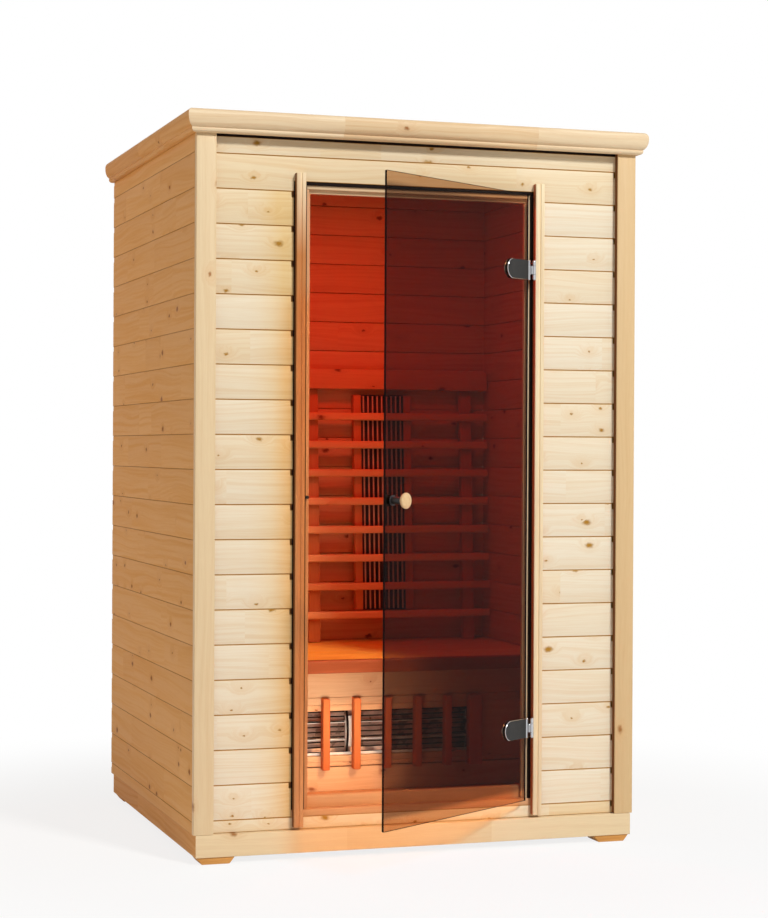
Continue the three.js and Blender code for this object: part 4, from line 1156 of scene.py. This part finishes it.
# %% Magnet catch
catch_low, catch_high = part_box("magnet_catch")
catch_middle = (catch_low + catch_high) / 2
CATCH_RADIUS = (catch_high.x - catch_low.x) / 2
catch = [peg(CATCH_RADIUS, catch_low.y, catch_high.y, "y", (catch_middle.x, 0, catch_middle.z), 0.8 * MM)]
add_piece("magnet_catch", catch, BLACK, ["magnet_catch"])

# %% [markdown]
# ## Bench
# The seat is planks with a rounded fascia in front. Below it boards close the bench, and in their window
# stand upright slats that keep legs away from the heater. An Array modifier could repeat one plank or slat,
# but then all would show the same knots; here each is cut from its own wood.

# %% Seat and bench front
seat_low, seat_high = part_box("bench_seat")
lip_low, lip_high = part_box("bench_fascia")
upper_low, upper_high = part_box("bench_front_upper")
lower_low, lower_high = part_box("bench_front_lower")
grille_low, grille_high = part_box("leg_grille")
SEAT_BOARDS = 6
BENCH_EASE = 1.8 * MM
SLAT_LAP, SLAT_SEAM, UPPER_SEAM_RISE = 6 * MM, 3 * MM, 1.5 * MM
corners = [(lip_low.y, lip_low.z), (lip_high.y, lip_low.z), (lip_high.y, lip_high.z), (lip_low.y, lip_high.z)]
fascia = moulding(rounded(corners, np.array([3, 1, 1, 7]) * MM, 6), "x", lip_low.x, lip_high.x, MM, 1.0)
seat_planks = planks(seat_low, seat_high, "x", "y", SEAT_BOARDS, 1.5 * MM)
add_piece("bench_seat_boards", seat_planks, SEAT, ["bench_seat"])
# The fascia's darker brown is painted shade.
add_piece("bench_fascia", fascia, BROWN_SHADE_WOOD, ["bench_fascia"])


def cut_level(low, high, level, gap):
    """Two boards, one above the other, that fill a box and leave a gap at a level."""
    split = np.array([high.x, high.y, level - gap / 2]), np.array([low.x, low.y, level + gap / 2])
    return [bar(low, split[0], "x", BENCH_EASE), bar(split[1], high, "x", BENCH_EASE)]


front_set = cut_level(upper_low, upper_high, grille_high.z + UPPER_SEAM_RISE, 2 * FIT)
front_set += cut_level(lower_low, lower_high, grille_low.z + SLAT_LAP, SLAT_SEAM)
front_set += [node_bar("bench_front_left", "x", 1.5 * MM), node_bar("bench_front_right", "x", 1.5 * MM)]
add_piece("bench_front_boards", front_set, BENCH_WOOD,
          ["bench_front_upper", "bench_front_lower", "bench_front_left", "bench_front_right"])
add_piece("bench_ledger", node_bar("bench_ledger", "x", 2 * MM), PLANED, ["bench_ledger"])

# %% Grille
SLAT_WIDTH, SLAT_DEPTH, END_WIDTH, SLAT_PITCH = 20 * MM, 28 * MM, 40 * MM, 91 * MM
RAIL_TALL, RAIL_SHORT = 16.7 * MM, 4 * MM
SKIN = 0.1 * MM


def grille():
    """Seven slats at an even pitch, a wider one at each end, and paler rails above and below the window."""
    face, back = grille_low.y, grille_high.y
    behind = face + SLAT_DEPTH
    end = grille_high.x - END_WIDTH / 2
    middles = np.r_[np.arange(-3, 4) * SLAT_PITCH, -end, end]
    widths = np.r_[np.full(7, SLAT_WIDTH), END_WIDTH, END_WIDTH]
    made = [bar((x - w / 2, face, grille_low.z), (x + w / 2, behind, grille_high.z), "z", 3 * MM)
            for x, w in zip(middles, widths)]
    half = end - RAIL_SHORT
    for level in (lower_high.z + FIT, upper_low.z - FIT - RAIL_TALL):
        rail = bar((-half, behind + SKIN, level), (half, back, level + RAIL_TALL), "x", 1.2 * MM)
        rail.pick[:] = 1
        made.append(rail)
    return made


add_piece("leg_grille_slats", grille(), [SLAT_WOOD, BENCH_WOOD], ["leg_grille"])

# %% [markdown]
# ## Leg heater
# Behind the grille is a tray with a bowed reflector, two heating rods across it in a white ceramic holder,
# and two guards of thin black wire. A reflector bowed as a parabola throws the rods' heat forward; a guard is
# level wires that are held by upright hoops. Bevelled curves would make wires too; rings round a path give
# the same tubes as plain meshes that need no conversion.

# %% Tray and reflector
tray_low, tray_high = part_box("leg_heater")
SHEET = 1.5 * MM
BOW = 26 * MM
LIP_TOP = lower_high.z + FIT + RAIL_TALL + 6.5 * MM
LIP_DEPTH = 4 * MM


def bowed_sheet():
    """Reflector: y = back - BOW u^2 for u from -1 to 1 up the tray, as a sheet of even thickness."""
    u = np.linspace(-1, 1, 19)
    level = (tray_low.z + tray_high.z) / 2 + u * ((tray_high.z - tray_low.z) / 2 - 2 * SHEET)
    behind = tray_high.y - 2 * SHEET - BOW * u ** 2
    outline = np.concatenate([np.stack([behind, level], -1), np.stack([behind - SHEET, level], -1)[::-1]])
    return moulding(outline, "x", tray_low.x + 2 * SHEET, tray_high.x - 2 * SHEET, 0.3 * MM)


def tray():
    """Sheets at the back, above, below and at both ends, a pale lip in front, and the reflector inside."""
    (x0, y0, z0), (x1, y1, z1) = tray_low, tray_high
    t, lip = SHEET, y0 + LIP_DEPTH
    boxes = [((x0, y1 - t, z0), (x1, y1, z1)), ((x0, y0, z0), (x1, y1 - t - SKIN, z0 + t)),
             ((x0, y0, z1 - t), (x1, y1 - t - SKIN, z1)),
             ((x0, y0, z0 + t + SKIN), (x0 + t, y1 - t - SKIN, z1 - t - SKIN)),
             ((x1 - t, y0, z0 + t + SKIN), (x1, y1 - t - SKIN, z1 - t - SKIN)),
             ((x0 + 2 * t, lip, z0 + t + SKIN), (x1 - 2 * t, lip + t, LIP_TOP))]
    made = [bar(low, high, "x", 0.4 * MM) for low, high in boxes]
    made[-1].pick[:] = 1
    return made + [bowed_sheet()]


add_piece("leg_heater_tray", tray(), [REFLECTOR, CERAMIC], ["leg_heater"])

# %% Rods and wire guards
ROD_RADIUS, ROD_SPREAD, ROD_SHORT = 4 * MM, 26 * MM, 3 * MM
HOLDER, HOLDER_DEPTH = (16 * MM, 5 * MM, 44 * MM), 20 * MM
WIRE, WIRE_COUNT, WIRE_MARGIN = 2.0 * MM, 9, 6 * MM
GUARD_GAP, GUARD_DEPTH, GUARD_SHORT = 21 * MM, 14 * MM, 14 * MM
HOOP_BULGE, HOOP_RINGS = 9 * MM, 17


def tube(path, radius, sides=10):
    """A wire along a path in an XZ plane: rings spanned by the path's normal (-tz, 0, tx) and by Y."""
    t = np.gradient(path, axis=0)
    t /= np.linalg.norm(t, axis=1, keepdims=True)
    normal = np.stack([-t[:, 2], np.zeros(len(t)), t[:, 0]], axis=-1)
    a = np.linspace(0, 2 * np.pi, sides, endpoint=False)
    ring = np.cos(a)[None, :, None] * normal[:, None] + np.sin(a)[None, :, None] * np.array([0, 1.0, 0])
    return Solid(path[:, None] + radius * ring, "x", 0.3)


def guard(start, end):
    """Level wires from start to end, and at each end a hoop x = end +- bulge (1 - u^2) from floor to roof."""
    y = tray_low.y + GUARD_DEPTH
    low, high = tray_low.z + SHEET, tray_high.z - SHEET
    margin = RAIL_TALL + WIRE_MARGIN
    levels = np.linspace(lower_high.z + margin, upper_low.z - margin, WIRE_COUNT)
    made = [peg(WIRE, start, end, "x", (0, y, level), 0.4 * MM, 10) for level in levels]
    u = np.linspace(-1, 1, HOOP_RINGS)
    for place, side in ((start, -1), (end, 1)):
        x = place + side * HOOP_BULGE * (1 - u ** 2)
        z = (low + high) / 2 + u * (high - low) / 2
        made.append(tube(np.stack([x, np.full(HOOP_RINGS, y - 2 * WIRE), z], -1), 1.7 * WIRE))
    return made


rod_y, rod_z = (tray_low.y + tray_high.y) / 2, (tray_low.z + tray_high.z) / 2
rod_start, rod_end = tray_low.x + ROD_SHORT, tray_high.x - ROD_SHORT
rods = [peg(ROD_RADIUS, rod_start, rod_end, "x", (0, rod_y, rod_z + d), 2 * MM)
        for d in (-ROD_SPREAD, ROD_SPREAD)]
at = np.array([0, tray_low.y + HOLDER_DEPTH, rod_z])
rods.append(bar(at - HOLDER, at + HOLDER, "z", 1.5 * MM))
add_piece("leg_heater_rods", rods, CERAMIC)
reach = tray_high.x - GUARD_SHORT
add_piece("leg_heater_guards", guard(-reach, -GUARD_GAP) + guard(GUARD_GAP, reach), GUARD)

# %% [markdown]
# ## Backrest
# Slats, posts and rail form one frame that leans back by a few degrees. Each piece is made upright about its
# own middle and then leaned. A leaning box of height h and depth d is h cos + d sin high and h sin + d cos
# deep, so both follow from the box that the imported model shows. A turned parent object could lean them all;
# with the lean in the points, every piece stays at the origin like the others.

# %% Lean
first_box, last_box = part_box("backrest_slat_1"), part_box("backrest_slat_8")
rise = (last_box[0] + last_box[1] - first_box[0] - first_box[1]) / 2
LEAN = math.atan2(rise.y, rise.z)


def leaning(node):
    """Middle and half size of a leaning box, before it leans."""
    low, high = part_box(node)
    size = np.array(high - low)
    c, s = math.cos(LEAN), math.sin(LEAN)
    depth, tall = np.linalg.solve([[c, s], [s, c]], size[1:])
    return np.array(low + high) / 2, np.array([size[0], depth, tall]) / 2


def lean(solids, middle):
    """Each solid, made about the origin, leaned back and carried to the middle."""
    return [solid.leaned(LEAN).moved(middle) for solid in solids]


print("backrest leans by", round(math.degrees(LEAN), 2), "degrees")

# %% Slats, rail and posts
def leaning_bar(node, run, radius, tones=None):
    """A planed bar in the place of a leaning CAD node."""
    middle, half = leaning(node)
    return lean([bar(-half, half, run, radius, tones)], middle)


RAIL_CHAMFER = 10 * MM
SLATS = [f"backrest_slat_{i}" for i in range(1, 9)]
POSTS = [f"backrest_post_{i}" for i in ("left", "centre", "right")]
rail_middle, (x, y, z) = leaning("backrest_rail")
corners = [(-x, -z), (x, -z), (x, z - RAIL_CHAMFER), (x - RAIL_CHAMFER, z), (RAIL_CHAMFER - x, z),
           (-x, z - RAIL_CHAMFER)]
rail = moulding(rounded(corners, 1.5 * MM), "y", -y, y, 2 * MM, grain="x")
slats = [solid for node in SLATS for solid in leaning_bar(node, "x", 5 * MM)]
# The posts take the deepest tone, painted shade behind the slats.
posts = [solid for node in POSTS for solid in leaning_bar(node, "z", 2 * MM, 1.0)]
add_piece("backrest_slats", slats, REST_WOOD, SLATS)
add_piece("backrest_rail", lean([rail], rail_middle), WARM, ["backrest_rail"])
add_piece("backrest_posts", posts, WARM, POSTS)

# %% [markdown]
# ## Back heaters
# Two upright heaters stand behind the slats, each a dark tray with four rods and a guard of upright wires.
# Wooden cheeks close the gap on both sides of a tray. Lines painted on a plate would look alike from straight
# in front, but real wires pass across the rods behind them when the eye moves.

# %% Back heaters
BACK_ROD, BACK_PITCH = 5 * MM, 27 * MM
CHEEK = 24 * MM
BACK_WIRES, BACK_WIRE, WIRE_INSET = 9, 2.6 * MM, 8 * MM


def back_tray(half):
    """A shallow tray: back, two sides and two ends, open towards the slats."""
    x, y, z = half
    t = SHEET
    boxes = [((-x, y - t, -z), (x, y, z)), ((-x, -y, -z), (t - x, y - t - SKIN, z)),
             ((x - t, -y, -z), (x, y - t - SKIN, z)),
             ((t - x + SKIN, -y, -z), (x - t - SKIN, y - t - SKIN, t - z)),
             ((t - x + SKIN, -y, z - t), (x - t - SKIN, y - t - SKIN, z))]
    return [bar(low, high, "z", 0.4 * MM) for low, high in boxes]


def back_heater(side):
    """Tray, rods, wires and cheeks of one heater, all leaned together about its middle."""
    node = f"back_heater_{side}"
    middle, half = leaning(node)
    x, y, z = half
    end = z - 2 * SHEET
    rods = [peg(BACK_ROD, -end, end, "z", (k * BACK_PITCH, 0, 0), MM, 20) for k in (-1.5, -0.5, 0.5, 1.5)]
    places = np.linspace(-x + WIRE_INSET, x - WIRE_INSET, BACK_WIRES)
    wires = [peg(BACK_WIRE, -end, end, "z", (place, BACK_WIRE + MM - y, 0), 0.5 * MM, 12) for place in places]
    cheeks = [bar((s - CHEEK / 2, -y, -z), (s + CHEEK / 2, y, z), "z", 2 * MM, 1.0)
              for s in (-x - CHEEK / 2 - MM, x + CHEEK / 2 + MM)]
    add_piece(f"{node}_tray", lean(back_tray(half), middle), DARK_TRAY, [node])
    add_piece(f"{node}_rods", lean(rods, middle), DARK_TRAY)
    add_piece(f"{node}_wires", lean(wires, middle), WIRES)
    add_piece(f"{node}_cheeks", lean(cheeks, middle), WARM)


back_heater("left")
back_heater("right")

# %% [markdown]
# ## Ceiling lamp and control box
# The lamp under the roof is a shallow dome in a black ring. On the roof lies the control box, with a lid, a
# row of vents and a cable gland at its back. A cylinder and a cube would mark the places; a dome turned from
# a quarter of an ellipse and a lid with a shadow joint also bear a look from near by.

# %% Lamp
lamp_low, lamp_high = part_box("ceiling_lamp")
lamp_middle = (lamp_low + lamp_high) / 2
LAMP_RADIUS = (lamp_high.x - lamp_low.x) / 2
RING_TALL = 14 * MM
LENS_RADIUS = 0.88 * LAMP_RADIUS
LAMP_SIDES = 56


def lamp_lens():
    """Dome: an ellipse quarter, r = R sin t and z = low + depth (1 - cos t), with a flat top in the ring."""
    t = np.linspace(0.04, np.pi / 2, 14)
    depth = lamp_high.z - MM - RING_TALL / 2 - lamp_low.z
    r = np.r_[LENS_RADIUS * np.sin(t), LENS_RADIUS]
    z = np.r_[lamp_low.z + depth * (1 - np.cos(t)), lamp_high.z - MM]
    return spun(r, z, "z", (lamp_middle.x, lamp_middle.y, 0), LAMP_SIDES)


def lamp_ring():
    """A rounded rectangle turned about the lamp's axis and closed on itself."""
    inner, below = LENS_RADIUS + FIT, lamp_high.z - RING_TALL
    corners = [(inner, below), (LAMP_RADIUS, below), (LAMP_RADIUS, lamp_high.z), (inner, lamp_high.z)]
    outline = rounded(corners, 3 * MM)
    a = np.linspace(0, 2 * np.pi, LAMP_SIDES, endpoint=False)[:, None]
    r, z = outline.T
    rings = np.stack([r * np.cos(a), r * np.sin(a), np.broadcast_to(z, (LAMP_SIDES, len(z)))], axis=-1)
    rings += np.array([lamp_middle.x, lamp_middle.y, 0])
    return Solid(rings, "z", 0.3, loop=True, picks=(1, 1))


add_piece("ceiling_lamp", [lamp_lens(), lamp_ring()], [LENS, BLACK], ["ceiling_lamp"])

# %% Control box
control_low, control_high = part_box("control_box")
GLAND_LENGTH, GLAND_RADIUS = 20 * MM, 9 * MM
LID = 8 * MM
VENTS, VENT_HALF, VENT_MARGIN = 7, 4 * MM, 30 * MM


def control_box():
    """Body, lid with a shadow joint below it, raised vent bars on the lid, and the gland as stepped pegs."""
    (x0, y0, z0), (x1, y1, z1) = control_low, control_high
    back = y1 - GLAND_LENGTH
    lid, joint, rim = z1 - LID, 1.3 * MM, 6 * MM
    made = [bar((x0 + MM, y0 + MM, z0), (x1 - MM, back - MM, lid - joint), "x", 3 * MM),
            bar((x0, y0, lid), (x1, back, z1 - 2 * MM), "x", 2.5 * MM),
            bar((x0 + rim, y0 + rim, lid - joint), (x1 - rim, back - rim, lid), "x", 0.2 * MM)]
    middle, reach = (x0 + x1) / 2, 0.3 * (x1 - x0)
    near, far = y0 + VENT_MARGIN, back - VENT_MARGIN
    for x in np.linspace(middle - reach, middle + reach, VENTS):
        made.append(bar((x - VENT_HALF, near, z1 - 2.1 * MM), (x + VENT_HALF, far, z1), "y", 0.9 * MM))
    at = (0.5 * (x0 + x1), 0, 0.5 * (z0 + z1))
    made.append(peg(GLAND_RADIUS, back - MM, back + 0.6 * GLAND_LENGTH, "y", at, 1.5 * MM))
    made.append(peg(0.72 * GLAND_RADIUS, back + 0.6 * GLAND_LENGTH, y1, "y", at, 1.5 * MM))
    return made


add_piece("control_box", control_box(), HOUSING, ["control_box"])

# %% [markdown]
# ## Light and background
# The picture is a studio cut-out: white all round, a large soft light at the right and in front, and the left
# side in shade. The world and the floor are white only to the camera, to mirrors and to glass, so the white
# doesn't add light to the wood. A white world that lights everything would be simpler, but it would wash out
# the shade of the left side. A weak warm lamp stands for light from wood and walls on that side, and a small
# one in the doorway for what the bright floor throws on the bench front.

# %% World, floor and lamps
WORLD_LIGHT = 0.22
FLOOR_SIZE = 14.0
FLOOR_FADE, FLOOR_WHITE = (0.9, 2.2), 0.82


def white_to_the_eye(tree):
    """1 for camera, glossy and transmitted rays, 0 for the rays that carry light."""
    path = tree.nodes.new("ShaderNodeLightPath")
    total = path.outputs["Is Camera Ray"]
    for name in ("Is Glossy Ray", "Is Transmission Ray"):
        adder = tree.nodes.new("ShaderNodeMath")
        adder.operation = "MAXIMUM"
        tree.links.new(total, adder.inputs[0])
        tree.links.new(path.outputs[name], adder.inputs[1])
        total = adder.outputs[0]
    return total


def make_world():
    """A white background that lights the scene only weakly."""
    world = bpy.data.worlds.new("studio")
    world.use_nodes = True
    tree = world.node_tree
    seen = white_to_the_eye(tree)
    strength = tree.nodes.new("ShaderNodeMapRange")
    tree.links.new(seen, strength.inputs["Value"])
    strength.inputs["To Min"].default_value = WORLD_LIGHT
    strength.inputs["To Max"].default_value = 1.0
    ground = tree.nodes["Background"]
    ground.inputs["Color"].default_value = (1.0, 1.0, 1.0, 1.0)
    tree.links.new(strength.outputs["Result"], ground.inputs["Strength"])
    bpy.context.scene.world = world


def make_floor():
    """A flat square under the cabin: mostly white light to the eye, with a part of its shading kept."""
    side = FLOOR_SIZE / 2
    mesh = bpy.data.meshes.new("floor")
    corners = [(-side, -side, 0), (side, -side, 0), (side, side, 0), (-side, side, 0)]
    mesh.from_pydata(corners, [], [(0, 1, 2, 3)])
    f = Finish("studio_floor")
    where = f.node("TexCoord", out=3)
    f.set(Base_Color=f.blend(f.noise(where, 2.0), colour(244, 243, 241), colour(250, 249, 248)))
    f.surface.inputs["Roughness"].default_value = 0.9
    f.surface.inputs["Specular IOR Level"].default_value = 0.0
    away = f.node("VectorMath", out=1, inputs={0: where}, operation="LENGTH")
    white = f.between(away, *FLOOR_FADE, FLOOR_WHITE, 1.0)
    f.mix_into_output(f.math("MULTIPLY", white_to_the_eye(f.tree), white), f.node("Emission"))
    mesh.materials.append(f.material)
    floor = bpy.data.objects.new("floor", mesh)
    bpy.context.scene.collection.objects.link(floor)


def soft_lamp(name, place, target, size, power, tint=(1.0, 1.0, 1.0)):
    """A square area lamp at place that faces target."""
    data = bpy.data.lights.new(name, "AREA")
    data.shape = "SQUARE"
    data.size = size
    data.energy = power
    data.color = tint
    lamp = bpy.data.objects.new(name, data)
    lamp.location = place
    lamp.rotation_euler = (Vector(target) - Vector(place)).to_track_quat("-Z", "Y").to_euler()
    bpy.context.scene.collection.objects.link(lamp)
    return lamp


make_world()
make_floor()
centre = (cad_low + cad_high) / 2
KEY_YAW, KEY_RISE, KEY_DISTANCE = math.radians(20), math.radians(39), 14.0
KEY_SIZE, KEY_POWER = 1.7, 1380
SIDE_PLACE, SIDE_SIZE, SIDE_POWER, SIDE_TINT = (-5.0, 3.2, 2.8), 3.0, 70, (1.0, 0.52, 0.14)
LOW_SIZE, LOW_POWER, LOW_TINT = 0.16, 0.52, (1.0, 0.97, 0.86)
LOW_SPREAD = math.radians(80)
to_key = Vector((math.sin(KEY_YAW) * math.cos(KEY_RISE), -math.cos(KEY_YAW) * math.cos(KEY_RISE),
                 math.sin(KEY_RISE)))
soft_lamp("key", centre + KEY_DISTANCE * to_key, centre, KEY_SIZE, KEY_POWER)
soft_lamp("side_fill", SIDE_PLACE, centre, SIDE_SIZE, SIDE_POWER, SIDE_TINT)
doorway, bench_front = (-0.15, base_low.y + 0.09, 0.23), (-0.11, base_low.y + 0.57, 0.30)
low_fill = soft_lamp("low_fill", doorway, bench_front, LOW_SIZE, LOW_POWER, LOW_TINT)
low_fill.data.spread = LOW_SPREAD
low_fill.visible_camera = False
low_fill.visible_glossy = False
low_fill.visible_transmission = False
bpy.context.scene.view_settings.view_transform = "Standard"

# %% [markdown]
# ## The lamp inside
# A round lamp under the roof gives the red light of the cabin. Its lens glows, and a small disc of light just
# below it lights the boards, the bench and the backrest. The glowing lens could do that alone, but a lamp is
# found by far fewer samples, so the picture has less noise.

# %% Red lamp
LAMP_POWER, LAMP_TINT = 4.8, (1.0, 0.05, 0.025)
LAMP_DROP = 4 * MM


def make_red_lamp():
    """A disc of red light just below the lens."""
    data = bpy.data.lights.new("red_lamp", "AREA")
    data.shape = "DISK"
    data.size = 0.8 * (lamp_high.x - lamp_low.x)
    data.energy = LAMP_POWER
    data.color = LAMP_TINT
    lamp = bpy.data.objects.new("red_lamp", data)
    lamp.location = (lamp_middle.x, lamp_middle.y, lamp_low.z - LAMP_DROP)
    bpy.context.scene.collection.objects.link(lamp)


make_red_lamp()
print("red lamp", LAMP_POWER, "W")
